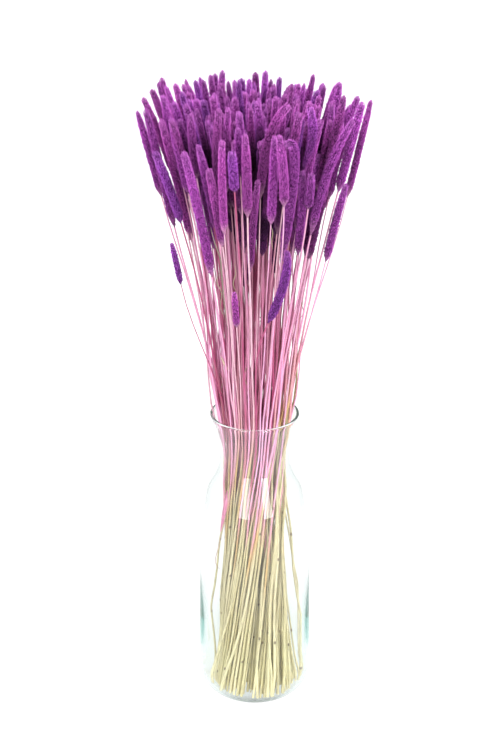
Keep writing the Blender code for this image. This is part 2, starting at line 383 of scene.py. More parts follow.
def lean_in(place, chance):
    """Turn the place of a head part of the way over the open part of the neck."""
    off = sum(OPEN_SECTOR) / 2 - math.degrees(cmath.phase(place))
    if abs(off) > LEAN_IN_WITHIN:
        return place
    return place * cmath.rect(1.0, math.radians(off * chance.uniform(0.0, LEAN_IN)))


def clear_slots(head):
    """Move a head's place sideways out of the dark slots."""
    at = head * spread(SLOT_HEIGHT)
    for middle, half in SLOTS:
        off = at.real - middle / 1000
        if abs(off) < half / 1000 and at.imag < SLOT_DEPTH:
            at += math.copysign(half / 1000 - abs(off), off)
    return at / spread(SLOT_HEIGHT)


def loose_stalk(place, head, top, wander, chance):
    """A stalk from a place in the waist to a head's place."""
    foot, bend, tip = crown_line(head, top, chance.uniform(*EXTRA_LENGTHS))
    sway = Vector((chance.gauss(0, wander), chance.gauss(0, wander), 0))
    width = chance.uniform(*EXTRA_WIDTHS)
    tip += sway
    tip.y = min(tip.y, BACK_REACH)
    return loosened(make_stalk(place, foot, bend - sway * COUNTER_BEND, tip, width), chance)


def loosened(stalk, chance):
    """Let a stalk stray from the twist below the waist."""
    stalk["splay"] = FOOT_SPREAD + scatter(chance, FOOT_STRAY)
    stalk["knee"] = 0j
    if chance.random() < KNEE_SHARE:
        stalk["knee"] = scatter(chance, KNEE_REACH)
    stalk["knee_height"] = chance.uniform(*KNEE_HEIGHTS)
    return stalk


def extra_stalk(place, chance):
    """A loose stalk that follows the bunch up to the crown, and may stand lower."""
    front = max(-place.imag, 0.0) / WAIST_RADIUS
    place *= 1 - FRONT_PULL * front
    top = CROWN_HEIGHT - CROWN_DROP * front + chance.uniform(*EXTRA_TOPS)
    if chance.random() < LOW_SHARE:
        top -= chance.uniform(*LOW_DROP)
    head = lean_in(place, chance) + scatter(chance, HEAD_STRAY)
    return loose_stalk(place, clear_slots(inside(head)), top, TIP_WANDER, chance)


def crown_stalk(tip, chance):
    """A loose stalk whose head ends at one of the places over the crown's top."""
    head = (complex(*tip) / 1000 - BUNCH_CENTRE) / (spread(CROWN_TIP_HEIGHT) * OUTWARD_LEAN)
    place = inside(head)
    if in_open_sector(place):
        place *= OPEN_FROM_RADIUS / abs(place)
    return loose_stalk(place, head, CROWN_TIP_HEIGHT, 0.0, chance)


def filling_spike(spike, chance):
    """A loose stalk whose head is listed."""
    foot, tip = (Vector(point) / 1000 for point in spike[:2])
    place = place_under(foot)
    stalk = make_stalk(place, foot, natural_bend(foot, tip, place), tip, spike[2] / 1000)
    return loosened(stalk, chance)


def extra_stalks(stalks, count):
    """The stalks that fill the bunch between those that have solids."""
    chance = random.Random(EXTRA_SEED)
    extras = [filling_spike(spike, chance) for spike in FILLING_SPIKES]
    extras += [crown_stalk(tip, chance) for tip in CROWN_TIPS]
    taken = [stalk["place"] for stalk in (*stalks, *extras)]
    while len(extras) < count:
        place = next_place(taken, chance)
        taken.append(place)
        extras.append(extra_stalk(place, chance))
    return extras


def belly(stalk, height):
    """How far the swelling above the waist carries a stem outwards."""
    share = (height - BELLY_FROM) / (stalk["foot"].z - BELLY_FROM)
    if not 0 < share < 1:
        return 0.0
    start, end = BELLY_POWERS
    top = start / (start + end)
    swell = share**start * (1 - share) ** end / (top**start * (1 - top) ** end)
    out = stalk["place"] / WAIST_RADIUS
    return (BELLY + (LEFT_BELLY - BELLY) * max(-out.real, 0.0)) * swell * out


def loose_centre(stalk, height):
    """Centre of a stem that may stray from the bunch's own lines."""
    centre = stem_centre(stalk, height)
    if "splay" not in stalk:
        return centre
    at = flat(centre) + belly(stalk, height)
    if height < WAIST_HEIGHT:
        depth = 1 - height / WAIST_HEIGHT
        at += stalk["place"] * spread(height) * stalk["splay"] * depth**SPLAY_POWER
        at += stalk["knee"] * max(1 - height / stalk["knee_height"], 0.0)
        at = inside(at, FOOT_REACH)
    return point_over(at, height)


# ---------------------------------------------------------------------------
# Settings that a user would change.
# ---------------------------------------------------------------------------


def number_property(name, description, default, **options):
    """A plain number."""
    return bpy.props.FloatProperty(name=name, description=description, default=default, **options)


def length_property(name, description, default):
    """A length in metres."""
    return number_property(name, description, default, unit="LENGTH", precision=5)


def colour_property(name, description, default):
    """A linear colour."""
    return bpy.props.FloatVectorProperty(
        name=name, description=description, default=default, subtype="COLOR",
        size=3, min=0.0, max=1.0,
    )


class VaseSettings(bpy.types.PropertyGroup):
    """Sizes and glass of the vase."""

    height: length_property("Height", "From the foot to the top of the lip", VASE_TOP)
    wall: length_property("Wall", "Thickness of the blown glass", 0.0021)
    base: length_property("Base", "Thickness of the glass under the stems", 0.0032)
    low_wall: length_property("Low wall", "Thickness of the glass just above the heel", 0.0046)
    lip: length_property("Lip radius", "Radius of the fire-polished lip's round edge", 0.0014)
    segments: bpy.props.IntProperty(
        name="Segments", description="Facets round the vase", default=144, min=24, max=512
    )
    tint: colour_property("Tint", "Colour that thick glass takes on", (0.75, 0.90, 0.88))
    tint_density: number_property(
        "Tint density", "How fast the tint deepens with thickness, per metre", 64.0, min=0.0
    )


class StalkSettings(bpy.types.PropertyGroup):
    """Number, florets and stems of the stalks."""

    total: bpy.props.IntProperty(
        name="Stalks", description="How many stalks stand in the vase", default=248,
        min=len(STALK_NODES),
    )
    floret_pitch: length_property("Floret pitch", "Distance between florets on a spike", 0.00150)
    floret_lift: length_property("Floret lift", "How far a floret's tip stands out", 0.00078)
    stem_top: length_property("Stem radius", "Radius of a stem under its spike", 0.00072)
    stem_foot: length_property("Stem foot radius", "Radius of a stem at its cut end", 0.00148)
    dye_low: length_property("Lowest dye line", "Where the dye ends on the deepest stems", 0.150)
    dye_high: length_property("Highest dye line", "Where the dye ends on most stems", 0.285)


class DyeSettings(bpy.types.PropertyGroup):
    """Colours of the grass."""

    # Painted shade: the near-black colour that the core and the florets' feet take between the
    # florets.
    gap: colour_property("Gap", "Between the florets", (0.055, 0.006, 0.066))
    violet: colour_property("Violet", "Most spikes", (0.560, 0.106, 0.590))
    plum: colour_property("Plum", "The redder spikes", (0.610, 0.114, 0.560))
    indigo: colour_property("Indigo", "The bluer spikes", (0.455, 0.096, 0.620))
    # The paler tips of the florets, more so towards the spike's end.
    floret_tip: colour_property("Floret tip", "Worn tips of the florets", (0.640, 0.240, 0.650))
    pink: colour_property("Pink", "Most dyed stems", (0.900, 0.420, 0.640))
    lilac: colour_property("Lilac", "The bluer stems", (0.870, 0.440, 0.690))
    pale_pink: colour_property("Pale pink", "Stems with little dye", (0.880, 0.550, 0.660))
    # Deep pink is also the painted shade of stems inside the bunch.
    deep_pink: colour_property("Deep pink", "Stems with the most dye", (0.460, 0.080, 0.200))
    salmon: colour_property("Salmon", "Where the dye thins out", (0.700, 0.300, 0.310))
    tan: colour_property("Tan", "Where dye and straw meet", (0.640, 0.420, 0.170))
    straw: colour_property("Straw", "Undyed stems", (0.610, 0.530, 0.285))
    pale_straw: colour_property("Pale straw", "The bleached stems", (0.735, 0.645, 0.400))
    joint_stain: colour_property("Joint stain", "One side of a stem's joint", (0.130, 0.085, 0.045))
    pith: colour_property("Pith", "Inside a cut stem", (0.420, 0.360, 0.200))
    pale_pith: colour_property("Pale pith", "Flecks inside a cut stem", (0.800, 0.760, 0.580))
    dry_leaf: colour_property("Dry leaf", "Curled remnants of leaves", (0.180, 0.140, 0.110))


class StudioSettings(bpy.types.PropertyGroup):
    """Camera and lights."""

    distance: length_property("Camera distance", "From the vase's axis, level", 1.5)
    height: length_property("Camera height", "Above the floor", 1.005)
    pitch: number_property(
        "Camera pitch", "How far the camera looks down", math.radians(23.97), subtype="ANGLE"
    )
    lens: number_property("Lens", "Focal length in millimetres", 83.8, min=1.0)
    shift: number_property("Shift", "Sideways shift that sets the vase off centre", -0.0108)
    key_power: number_property("Key power", "Power of the left softbox in watts", 4.6, min=0.0)
    glint: number_property(
        "Glint", "Brightness of the softboxes as the glass mirrors them", 7.8, min=0.0
    )
    top_light: number_property("Top light", "Brightness of the ceiling", 2.6, min=0.0)
    back_light: number_property(
        "Back light", "Brightness of the wall behind the vase", 1.0, min=0.0
    )
    side_light: number_property(
        "Side light", "Brightness at the sides and in front", 0.80, min=0.0
    )
    spill: number_property(
        "Spill", "Share of the floor's and walls' light that falls on the grass", 0.45,
        min=0.0, max=1.0,
    )
    sheen: number_property(
        "Sheen", "How much brighter gloss mirrors the sides and front", 2.2, min=0.0
    )
    through: number_property(
        "Through", "Share of the floor's glow that shows in the glass", 0.77, min=0.0, max=1.0
    )
    floor_colour: colour_property("Floor", "Colour of the floor", (0.30, 0.30, 0.30))
    floor_light: number_property("Floor light", "Glow of the floor round the vase", 0.80, min=0.0)


# ---------------------------------------------------------------------------
# Meshes.
# ---------------------------------------------------------------------------

REFERENCE = np.array((0.0, 1.0, 0.0))
MARKS = ("tone", "reach", "lift", "grain", "inner")
STEM_MATERIAL, SPIKE_MATERIAL, CUT_MATERIAL = 0, 1, 2
# A stalk's parts on its own square of the baking map, as (left, width), or one spot of it.
MAP_EDGE = 0.02
MAP_STEM, MAP_CORE, MAP_SPIKE = (0.02, 0.10), (0.15, 0.08), (0.26, 0.70)
MAP_CUT, MAP_CORE_END = (0.135, 0.50), (0.16, 0.99)

# Painted shade inside the bunch. Shares of the waist's radius: where a stalk starts to count
# as inside, and over how much more.
INNER_FROM, INNER_OVER = 1.03, 0.38
# Most painted shade that a floret's direction gives, and the cosine from outwards where it starts.
SHELTER, SHELTER_FROM = 0.60, 0.25

STEM_SIDES, STEM_RINGS = 6, 22
STEM_TAPER = 0.55
GIRTHS, LOOSE_GIRTHS = (0.85, 1.20), (0.65, 1.35)
USUAL_WIDTH = 0.0080
JOINT_SWELL, JOINT_HEIGHT = 0.22, 0.0014
JOINT_RINGS = np.array((-2.0, -0.6, 0.6, 2.0))
LOW_JOINTS, HIGH_JOINTS = (0.018, 0.100), (0.120, 0.210)
WAVER, LOOSE_WAVER = 0.0008, 0.0018
WAVER_PACES = (25, 60)
# Beyond this share of the waist to the right, most stems are dyed only this high up.
RIGHT_FLANK = 0.55
HIGH_DYE_SHARE = 0.60
HIGH_DYE = (0.285, 0.360)

CORE_SIDES, CORE_RINGS = 10, 15
CORE_RING_POWER = 0.9
CORE_DEPTH = 0.00035
LEAST_CORE_RADIUS = 0.0003
# A spike's outline: shares of its length, and the powers by which it fills out and narrows.
FOOT_SHARE, FOOT_POWER = 0.11, 0.6
FULL_UNTIL, NARROWING_POWER = 0.58, 1.6
TIP_NARROWING = (0.12, 0.46)
ROUND_TIP_SHARE = 0.026
LEAST_SPIKE_RADIUS = 0.12

GOLDEN_ANGLE = math.pi * (3 - math.sqrt(5))
SPIKE_STEPS = 200
FLORET_FACES = ((0, 1, 3), (1, 2, 3), (2, 0, 3))
# Share of a square of the pitch that one floret takes up.
FLORET_ROOM = 0.88
FLORET_ENDS = (0.002, 0.998)
# A floret's half-width and height in pitches, and its feet, top and tip as shares of the height.
FLORET_HALF, FLORET_HEIGHT = 0.50, 1.05
FLORET_FEET, FLORET_TOP, FLORET_TIP = 0.45, 0.75, 0.55
FLORET_SIZES, FLORET_LIFTS = (0.78, 1.22), (0.35, 1.50)
# The last florets of a spike are smaller: over what share of it, and how small the last is.
SMALLER_OVER, SMALLEST = 0.20, 0.72
# Spread of the florets' places: round the spike in radians, the others in pitches.
ROUND_STRAY, ALONG_STRAY, TIP_STRAY = 0.035, 0.12, 0.22
# Florets grow shorter between these shares of a spike, so that its end is blunt.
BLUNT_END, SHORTEST = (0.93, 0.99), 0.45
# Lift marks of a floret's two feet, top and tip, and of the core's tip. A lift of 0 takes the
# painted gap shade.
FLORET_LIFT_MARKS = (0.0, 0.0, 0.12, 1.0)
TIP_LIFT = 0.45
FLORET_MAP_SIZE = 0.30


class Pile:
    """Triangles with their marks, gathered before they become one mesh.

    The marks are the stalk's tone, the reach along it, the lift of a floret's tip (or a stem's
    joint), a random grain, and the painted shade from how far inside the bunch the stalk stands
    and which way a floret faces.
    """

    def __init__(self):
        self.points, self.faces, self.marks = [], [], []
        self.slots, self.maps, self.flats = [], [], []
        self.count = 0

    def add(self, points, faces, marks, slot, corners, flat_shaded=False):
        """Add points (n, 3), faces (m, 3), marks (n, 5) and map corners (m, 3, 2)."""
        self.points.append(points)
        self.faces.append(faces + self.count)
        self.marks.append(marks)
        self.slots.append(np.full(len(faces), slot))
        self.flats.append(np.full(len(faces), flat_shaded))
        self.maps.append(corners)
        self.count += len(points)


def marks_for(count, **values):
    """The marks of a number of points. Those that aren't given are 0."""
    marks = np.zeros((count, len(MARKS)))
    for name, value in values.items():
        marks[:, MARKS.index(name)] = value
    return marks


def add_object(name, data):
    """Put a new object in the scene."""
    made = bpy.data.objects.new(name, data)
    bpy.context.scene.collection.objects.link(made)
    return made


def make_piece(name, pile, materials):
    """Turn a pile into a named piece of the grass that rides on the vase's body."""
    mesh = bpy.data.meshes.new(name)
    mesh.from_pydata(np.concatenate(pile.points), [], np.concatenate(pile.faces))
    for material in materials:
        mesh.materials.append(material)
    mesh.polygons.foreach_set("material_index", np.concatenate(pile.slots).astype(np.int32))
    mesh.polygons.foreach_set("use_smooth", ~np.concatenate(pile.flats))
    marks = np.concatenate(pile.marks).astype(np.float32)
    for column, mark in enumerate(MARKS):
        layer = mesh.attributes.new(mark, "FLOAT", "POINT")
        layer.data.foreach_set("value", np.ascontiguousarray(marks[:, column]))
    uv = mesh.uv_layers.new(name="OFBake")
    uv.uv.foreach_set("vector", np.concatenate(pile.maps).astype(np.float32).ravel())
    mesh.update()
    piece = add_object(name, mesh)
    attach(piece, BODY)
    return piece


def unit(vectors):
    """Vectors scaled to length one."""
    return vectors / np.linalg.norm(vectors, axis=-1, keepdims=True)


def directions(centres):
    """Unit directions along a line of centres, to its side and across."""
    along = unit(np.gradient(centres, axis=0))
    side = unit(REFERENCE - along * (along @ REFERENCE)[:, None])
    return along, side, np.cross(along, side)


def ring_faces(rings, sides):
    """The four-cornered faces between rings of points."""
    ring, side = (index.ravel() for index in np.indices((rings - 1, sides)))
    low, low_next = ring * sides + side, ring * sides + (side + 1) % sides
    return np.stack((low, low_next, low_next + sides, low + sides), -1)


def halved(corners):
    """Two triangles for each face of four corners."""
    return corners[:, ((0, 1, 2), (0, 2, 3))].reshape(-1, 3, *corners.shape[2:])


def tube(centres, radii, sides, squash=1.0):
    """Points and triangles of a tube's skin, ring by ring."""
    _, side, across = directions(centres)
    angles = np.arange(sides) * (math.tau / sides)
    ring = np.cos(angles)[None, :, None] * side[:, None] * squash
    ring = ring + np.sin(angles)[None, :, None] * across[:, None]
    points = centres[:, None] + ring * np.asarray(radii)[:, None, None]
    return points.reshape(-1, 3), halved(ring_faces(len(centres), sides))


def tube_map(rings, sides, area, tile):
    """Map corners of a tube, laid out as a strip with its foot down."""
    left, width = area
    u = left + width * np.arange(sides + 1) / sides
    v = MAP_EDGE + (1 - 2 * MAP_EDGE) * np.arange(rings) / (rings - 1)
    row, column = (index.ravel() for index in np.indices((rings - 1, sides)))
    corners = ((column, row), (column + 1, row), (column + 1, row + 1), (column, row + 1))
    faces = np.stack([np.stack((u[across], v[up]), -1) for across, up in corners], 1)
    return tile(halved(faces))


def spot_map(count, spot, tile):
    """Map corners that put a number of triangles on one spot."""
    return tile(np.full((count, 3, 2), spot))


def end_fan(start, sides, downwards):
    """Triangles that close a ring of points by fanning from its first one."""
    first = np.full(sides - 2, start)
    middle = start + np.arange(1, sides - 1)
    last = middle + 1
    order = (first, last, middle) if downwards else (first, middle, last)
    return np.stack(order, -1)


def map_tile(index, across):
    """A function that moves map corners on to one square of a grid of squares."""
    column, row = index % across, index // across

    def tile(corners):
        return (corners + np.array((column, row))) / across

    return tile


def inner_share(stalk):
    """0 for a stalk at the outside of the bunch, 1 for one well inside it: its painted shade."""
    return min(max((INNER_FROM - abs(stalk["place"]) / WAIST_RADIUS) / INNER_OVER, 0.0), 1.0)


def spike_radius(share, width, slimness):
    """Radius along a spike: it fills out quickly, stays full and narrows to a blunt tip."""
    foot = np.clip(share / FOOT_SHARE, 0, 1) ** FOOT_POWER
    past_full = np.clip((share - FULL_UNTIL) / (1 - FULL_UNTIL), 0, 1)
    narrowing = 1 - slimness * past_full**NARROWING_POWER
    tip = np.sqrt(np.clip((1 - share) / ROUND_TIP_SHARE, 0, 1))
    return width / 2 * np.maximum(foot * narrowing * tip, LEAST_SPIKE_RADIUS)


def spike_line(stalk, share):
    """Centres along a spike's curve."""
    foot, bend, tip = (np.array(stalk[name]) for name in ("foot", "bend", "tip"))
    share = np.asarray(share)[:, None]
    return foot * (1 - share) ** 2 + bend * (2 * share * (1 - share)) + tip * share**2


def sheltered(stalk, centre, out):
    """How much painted shade the bunch puts on florets: least where they face away from its middle.
    """
    turned = np.clip(SHELTER_FROM - (out[:, :2] * unit(centre[:, :2])).sum(1), 0, 1)
    return np.maximum(inner_share(stalk), SHELTER * turned)


def floret_places(stalk, slimness, chance):
    """The florets' shares of a spike and angles round it, and the spike's length."""
    pitch = bpy.context.scene.timothy_stalks.floret_pitch
    fine = np.linspace(0, 1, SPIKE_STEPS)
    step = np.linalg.norm(np.diff(spike_line(stalk, fine), axis=0), axis=1)
    radius = spike_radius(fine, stalk["width"], slimness)
    skin = np.concatenate(([0], np.cumsum((radius[1:] + radius[:-1]) * math.pi * step)))
    count = int(skin[-1] / (pitch * pitch * FLORET_ROOM))
    share = np.interp((np.arange(count) + 0.5) / count * skin[-1], skin, fine)
    angle = np.arange(count) * GOLDEN_ANGLE + chance.normal(0, ROUND_STRAY, count)
    along = chance.normal(0, ALONG_STRAY * pitch / step.sum(), count)
    return np.clip(share + along, *FLORET_ENDS), angle, step.sum()


def add_florets(pile, stalk, tone, slimness, chance, tile):
    """Cover a spike with small pointed florets along a spiral."""
    settings = bpy.context.scene.timothy_stalks
    pitch = settings.floret_pitch
    share, angle, length = floret_places(stalk, slimness, chance)
    count = len(share)
    fine = np.linspace(0, 1, SPIKE_STEPS)
    line = spike_line(stalk, fine)
    centre, up, right, back = (
        np.stack([np.interp(share, fine, values[:, axis]) for axis in range(3)], -1)
        for values in (line, *directions(line))
    )
    out = right * np.cos(angle)[:, None] + back * np.sin(angle)[:, None]
    round_way = back * np.cos(angle)[:, None] - right * np.sin(angle)[:, None]
    near_end = np.clip((1 - share) / SMALLER_OVER, 0, 1)
    size = chance.uniform(*FLORET_SIZES, count) * (SMALLEST + (1 - SMALLEST) * near_end)
    base = spike_radius(share, stalk["width"], slimness) - settings.floret_lift - CORE_DEPTH / 2
    base = np.maximum(base, LEAST_CORE_RADIUS)
    half = (FLORET_HALF * pitch * size)[:, None]
    tall = (FLORET_HEIGHT * pitch * size * np.interp(share, BLUNT_END, (1.0, SHORTEST)))[:, None]
    lift = (settings.floret_lift * chance.uniform(*FLORET_LIFTS, count) * size)[:, None]
    skin_point = centre + out * base[:, None]
    left_foot = skin_point - round_way * half - up * tall * FLORET_FEET
    right_foot = skin_point + round_way * half - up * tall * FLORET_FEET
    top = skin_point + up * tall * FLORET_TOP
    sway = round_way * (chance.normal(0, TIP_STRAY, count) * pitch)[:, None]
    tip = skin_point + out * (lift + CORE_DEPTH) + up * tall * FLORET_TIP + sway
    points = np.stack((left_foot, right_foot, top, tip), 1).reshape(-1, 3)
    faces = (np.arange(count)[:, None, None] * 4 + np.array(FLORET_FACES)).reshape(-1, 3)
    marks = marks_for(
        len(points), tone=tone, reach=np.repeat(share, 4),
        lift=np.tile(FLORET_LIFT_MARKS, count), grain=np.repeat(chance.random(count), 4),
        inner=np.repeat(sheltered(stalk, centre, out), 4),
    )
    left, width = MAP_SPIKE
    u = left + width * ((angle % math.tau) / math.tau)
    v = MAP_EDGE + (1 - 2 * MAP_EDGE) * share
    du = width * FLORET_MAP_SIZE * pitch / (math.pi * stalk["width"])
    dv = FLORET_MAP_SIZE * pitch / length
    spots = np.stack((u, v), -1)[:, None] + np.array(((-du, -dv), (du, -dv), (0, dv), (0, 0)))
    corners = spots[:, FLORET_FACES].reshape(-1, 3, 2)
    pile.add(points, faces, marks, SPIKE_MATERIAL, tile(corners), flat_shaded=True)


def add_core(pile, stalk, tone, slimness, tile):
    """The spike's solid core, which the florets stand on."""
    share = np.linspace(0, 1, CORE_RINGS) ** CORE_RING_POWER
    lift = bpy.context.scene.timothy_stalks.floret_lift
    radii = spike_radius(share, stalk["width"], slimness) - lift
    radii = np.maximum(radii, LEAST_CORE_RADIUS)
    points, faces = tube(spike_line(stalk, share), radii, CORE_SIDES)
    marks = marks_for(
        len(points), tone=tone, reach=np.repeat(share, CORE_SIDES), inner=inner_share(stalk),
        lift=np.repeat(np.interp(share, BLUNT_END, (0.0, TIP_LIFT)), CORE_SIDES),
    )
    ends = (end_fan(len(points) - CORE_SIDES, CORE_SIDES, False), end_fan(0, CORE_SIDES, True))
    corners = np.concatenate((
        tube_map(CORE_RINGS, CORE_SIDES, MAP_CORE, tile),
        spot_map(sum(len(end) for end in ends), MAP_CORE_END, tile),
    ))
    pile.add(points, np.concatenate((faces, *ends)), marks, SPIKE_MATERIAL, corners)


def near_joint(heights, joint):
    """1 at a joint's height, falling to 0 a little above and below it."""
    return np.exp(-((heights - joint) / JOINT_HEIGHT) ** 2)


def stem_radii(heights, stalk, joints, chance):
    """Radii up a stem, with joints that stand out a little. Slender spikes have thin stems."""
    settings = bpy.context.scene.timothy_stalks
    share = heights / stalk["foot"].z
    girth = chance.uniform(*(LOOSE_GIRTHS if "splay" in stalk else GIRTHS))
    girth *= min(stalk["width"] / USUAL_WIDTH, 1.0)
    taper = (settings.stem_top - settings.stem_foot) * share**STEM_TAPER
    radii = (settings.stem_foot + taper) * girth
    for joint in joints:
        radii = radii * (1 + JOINT_SWELL * near_joint(heights, joint))
    return radii


def stem_heights(cut, top, joints):
    """Heights of a stem's rings, closer together round its joints."""
    rings = [np.linspace(cut, top, STEM_RINGS)]
    rings += [joint + JOINT_HEIGHT * JOINT_RINGS for joint in joints]
    return np.sort(np.concatenate(rings))


def add_stem(pile, stalk, tone, dye_line, chance, tile):
    """A stalk's stem, from its cut end on the vase's floor to the foot of its spike."""
    settings = bpy.context.scene.timothy_stalks
    reach = abs(flat(loose_centre(stalk, 0.0))) + settings.stem_foot
    cut, top = floor_height(reach) + GAP, stalk["foot"].z
    joints = (chance.uniform(*LOW_JOINTS), chance.uniform(*HIGH_JOINTS))
    heights = stem_heights(cut, top, joints)
    radii = stem_radii(heights, stalk, joints, chance)
    centres = np.array([loose_centre(stalk, height) for height in heights])
    wave = np.sin(np.pi * (heights - cut) / (top - cut))
    waver = LOOSE_WAVER if "splay" in stalk else WAVER
    for axis in range(2):
        pace, phase = chance.uniform(*WAVER_PACES), chance.uniform(0, math.tau)
        centres[:, axis] += waver * wave * np.sin(heights * pace + phase)
    points, faces = tube(centres, radii, STEM_SIDES)
    # A joint is stained on one side only.
    side = np.cos(np.arange(len(points)) % STEM_SIDES + chance.uniform(0, math.tau))
    stain = sum(near_joint(heights, joint) for joint in joints)
    marks = marks_for(
        len(points), tone=tone, reach=np.repeat(heights - dye_line, STEM_SIDES),
        lift=np.repeat(stain, STEM_SIDES) * np.clip(side * 2, 0, 1),
        grain=chance.random(), inner=inner_share(stalk),
    )
    corners = tube_map(len(heights), STEM_SIDES, MAP_STEM, tile)
    pile.add(points, faces, marks, STEM_MATERIAL, corners)
    cap = end_fan(0, STEM_SIDES, True)
    corners = spot_map(len(cap), MAP_CUT, tile)
    pile.add(points[:STEM_SIDES], cap, marks[:STEM_SIDES], CUT_MATERIAL, corners)


def dye_line_of(stalk, chance):
    """Height at which the dye ends on a stem. Those at the right flank took the least."""
    settings = bpy.context.scene.timothy_stalks
    if stalk["place"].real > RIGHT_FLANK * WAIST_RADIUS and chance.random() < HIGH_DYE_SHARE:
        return chance.uniform(*HIGH_DYE)
    return chance.uniform(settings.dye_low, settings.dye_high)


def add_stalk(pile, stalk, seed, tile):
    """One whole stalk: stem, core and florets."""
    chance = np.random.default_rng(seed)
    tone = chance.random()
    slimness = chance.uniform(*TIP_NARROWING)
    add_stem(pile, stalk, tone, dye_line_of(stalk, chance), chance, tile)
    add_core(pile, stalk, tone, slimness, tile)
    add_florets(pile, stalk, tone, slimness, chance, tile)


# ---------------------------------------------------------------------------
# Materials.
# ---------------------------------------------------------------------------

WHITE = (1.0, 1.0, 1.0, 1.0)


def add_node(tree, kind, inputs=None, **settings):
    """Add a node. Its inputs are set to values, or joined where a socket is given."""
    node = tree.nodes.new(kind)
    for name, value in settings.items():
        setattr(node, name, value)
    for name, value in (inputs or {}).items():
        if isinstance(value, bpy.types.NodeSocket):
            tree.links.new(value, node.inputs[name])
        else:
            node.inputs[name].default_value = value
    return node


def attribute(tree, name):
    """A mark that the mesh carries."""
    return add_node(tree, "ShaderNodeAttribute", attribute_name=name).outputs["Fac"]


def place_parts(tree, way="Object"):
    """A point's place on its object, as X, Y and Z. In the world, Generated is a ray's way."""
    place = add_node(tree, "ShaderNodeTexCoord").outputs[way]
    return add_node(tree, "ShaderNodeSeparateXYZ", {0: place}).outputs


def maths(tree, operation, first, second=0.0):
    """One arithmetic step."""
    return add_node(tree, "ShaderNodeMath", {0: first, 1: second}, operation=operation).outputs[0]


def times(tree, product, *factors):
    """Values multiplied together."""
    for factor in factors:
        product = maths(tree, "MULTIPLY", product, factor)
    return product


def shuffled(tree, value, factor):
    """Another value between 0 and 1 that goes with this one but looks unlike it."""
    return maths(tree, "FRACT", times(tree, value, factor))


def stepped(tree, value, low, high):
    """A smooth step from 0 at the low value to 1 at the high one."""
    return add_node(
        tree, "ShaderNodeMapRange", {"Value": value, "From Min": low, "From Max": high},
        interpolation_type="SMOOTHSTEP",
    ).outputs["Result"]


def rescaled(tree, value, low, high, least, most):
    """A value moved from one range to another."""
    return add_node(
        tree, "ShaderNodeMapRange",
        {"Value": value, "From Min": low, "From Max": high, "To Min": least, "To Max": most},
    ).outputs["Result"]


def blended(tree, share, least, most):
    """From least to most as a share goes from 0 to 1."""
    return rescaled(tree, share, 0.0, 1.0, least, most)


def mix_values(tree, share, first, second):
    """Mix two values."""
    inputs = {0: share, 2: first, 3: second}
    return add_node(tree, "ShaderNodeMix", inputs, data_type="FLOAT").outputs[0]


def mix_colours(tree, share, first, second):
    """Mix two colours."""
    inputs = {0: share, 6: first, 7: second}
    return add_node(tree, "ShaderNodeMix", inputs, data_type="RGBA").outputs[2]


def brightened(tree, colour, level):
    """A colour made brighter or darker."""
    inputs = {"Value": level, "Color": colour}
    return add_node(tree, "ShaderNodeHueSaturation", inputs).outputs["Color"]


def new_group(name, inputs, outputs):
    """A node group with named sockets. Returns the group and its two ends."""
    group = bpy.data.node_groups.new(name, "ShaderNodeTree")
    for socket, kind, default in inputs:
        made = group.interface.new_socket(socket, in_out="INPUT", socket_type=kind)
        made.default_value = default
    for socket, kind in outputs:
        group.interface.new_socket(socket, in_out="OUTPUT", socket_type=kind)
    start = group.nodes.new("NodeGroupInput")
    end = group.nodes.new("NodeGroupOutput")
    return group, start, end


# Scale of the grain's patches, as a share of its mottling's.
PATCH_SCALE = 0.12


def grain_group():
    """Fine mottling at two scales, drawn out along the stalk by the stretch. It is made once."""
    found = bpy.data.node_groups.get("Plant Grain")
    if found:
        return found
    group, start, end = new_group(
        "Plant Grain",
        (("Scale", "NodeSocketFloat", 400.0), ("Stretch", "NodeSocketFloat", 1.0)),
        (("Mottle", "NodeSocketFloat"), ("Patches", "NodeSocketFloat")),
    )
    place = add_node(group, "ShaderNodeTexCoord").outputs["Object"]
    shrink = maths(group, "DIVIDE", 1.0, start.outputs["Stretch"])
    scale = add_node(group, "ShaderNodeCombineXYZ", {"X": 1.0, "Y": 1.0, "Z": shrink})
    drawn = add_node(
        group, "ShaderNodeVectorMath", {0: place, 1: scale.outputs[0]}, operation="MULTIPLY"
    ).outputs[0]
    fine = add_node(
        group, "ShaderNodeTexNoise",
        {"Vector": drawn, "Scale": start.outputs["Scale"], "Detail": 3.0, "Roughness": 0.6},
    )
    broad_scale = times(group, start.outputs["Scale"], PATCH_SCALE)
    broad = add_node(
        group, "ShaderNodeTexNoise", {"Vector": drawn, "Scale": broad_scale, "Detail": 2.0}
    )
    group.links.new(fine.outputs["Fac"], end.inputs["Mottle"])
    group.links.new(broad.outputs["Fac"], end.inputs["Patches"])
    return group


def add_grain(tree, scale, stretch):
    """The grain in a material: its mottling and its patches."""
    inputs = {"Scale": scale, "Stretch": stretch}
    return add_node(tree, "ShaderNodeGroup", inputs, node_tree=grain_group()).outputs


STEM_COLOURS = ("Pink", "Lilac", "Pale Pink", "Deep Pink", "Salmon", "Tan", "Straw", "Pale Straw")
# Tones over which a stem's dye turns from deep to pink, to lilac and to pale.
DEEP_TONES, LILAC_TONES, PALE_TONES = (0.10, 0.24), (0.52, 0.60), (0.74, 0.84)
# How far the patches move a stem's tone, and its dye line in metres.
STREAKED_TONE, STREAKED_LINE = 0.30, 0.06
# How far painted shade turns the stems inside the bunch towards deep pink.
INNER_SHADE_TO_DEEP = 0.55
SECOND_SHUFFLE, TAN_TONES = 7.31, (0.0, 0.75)
# Heights over the dye line: where the dye thins out to salmon, and where straw, tan and dye meet.
THIN_DYE, THIN_SHARE = (0.110, 0.005), 0.72
STRAW_TO_TAN, TAN_TO_DYE = (-0.055, -0.010), (-0.012, 0.025)


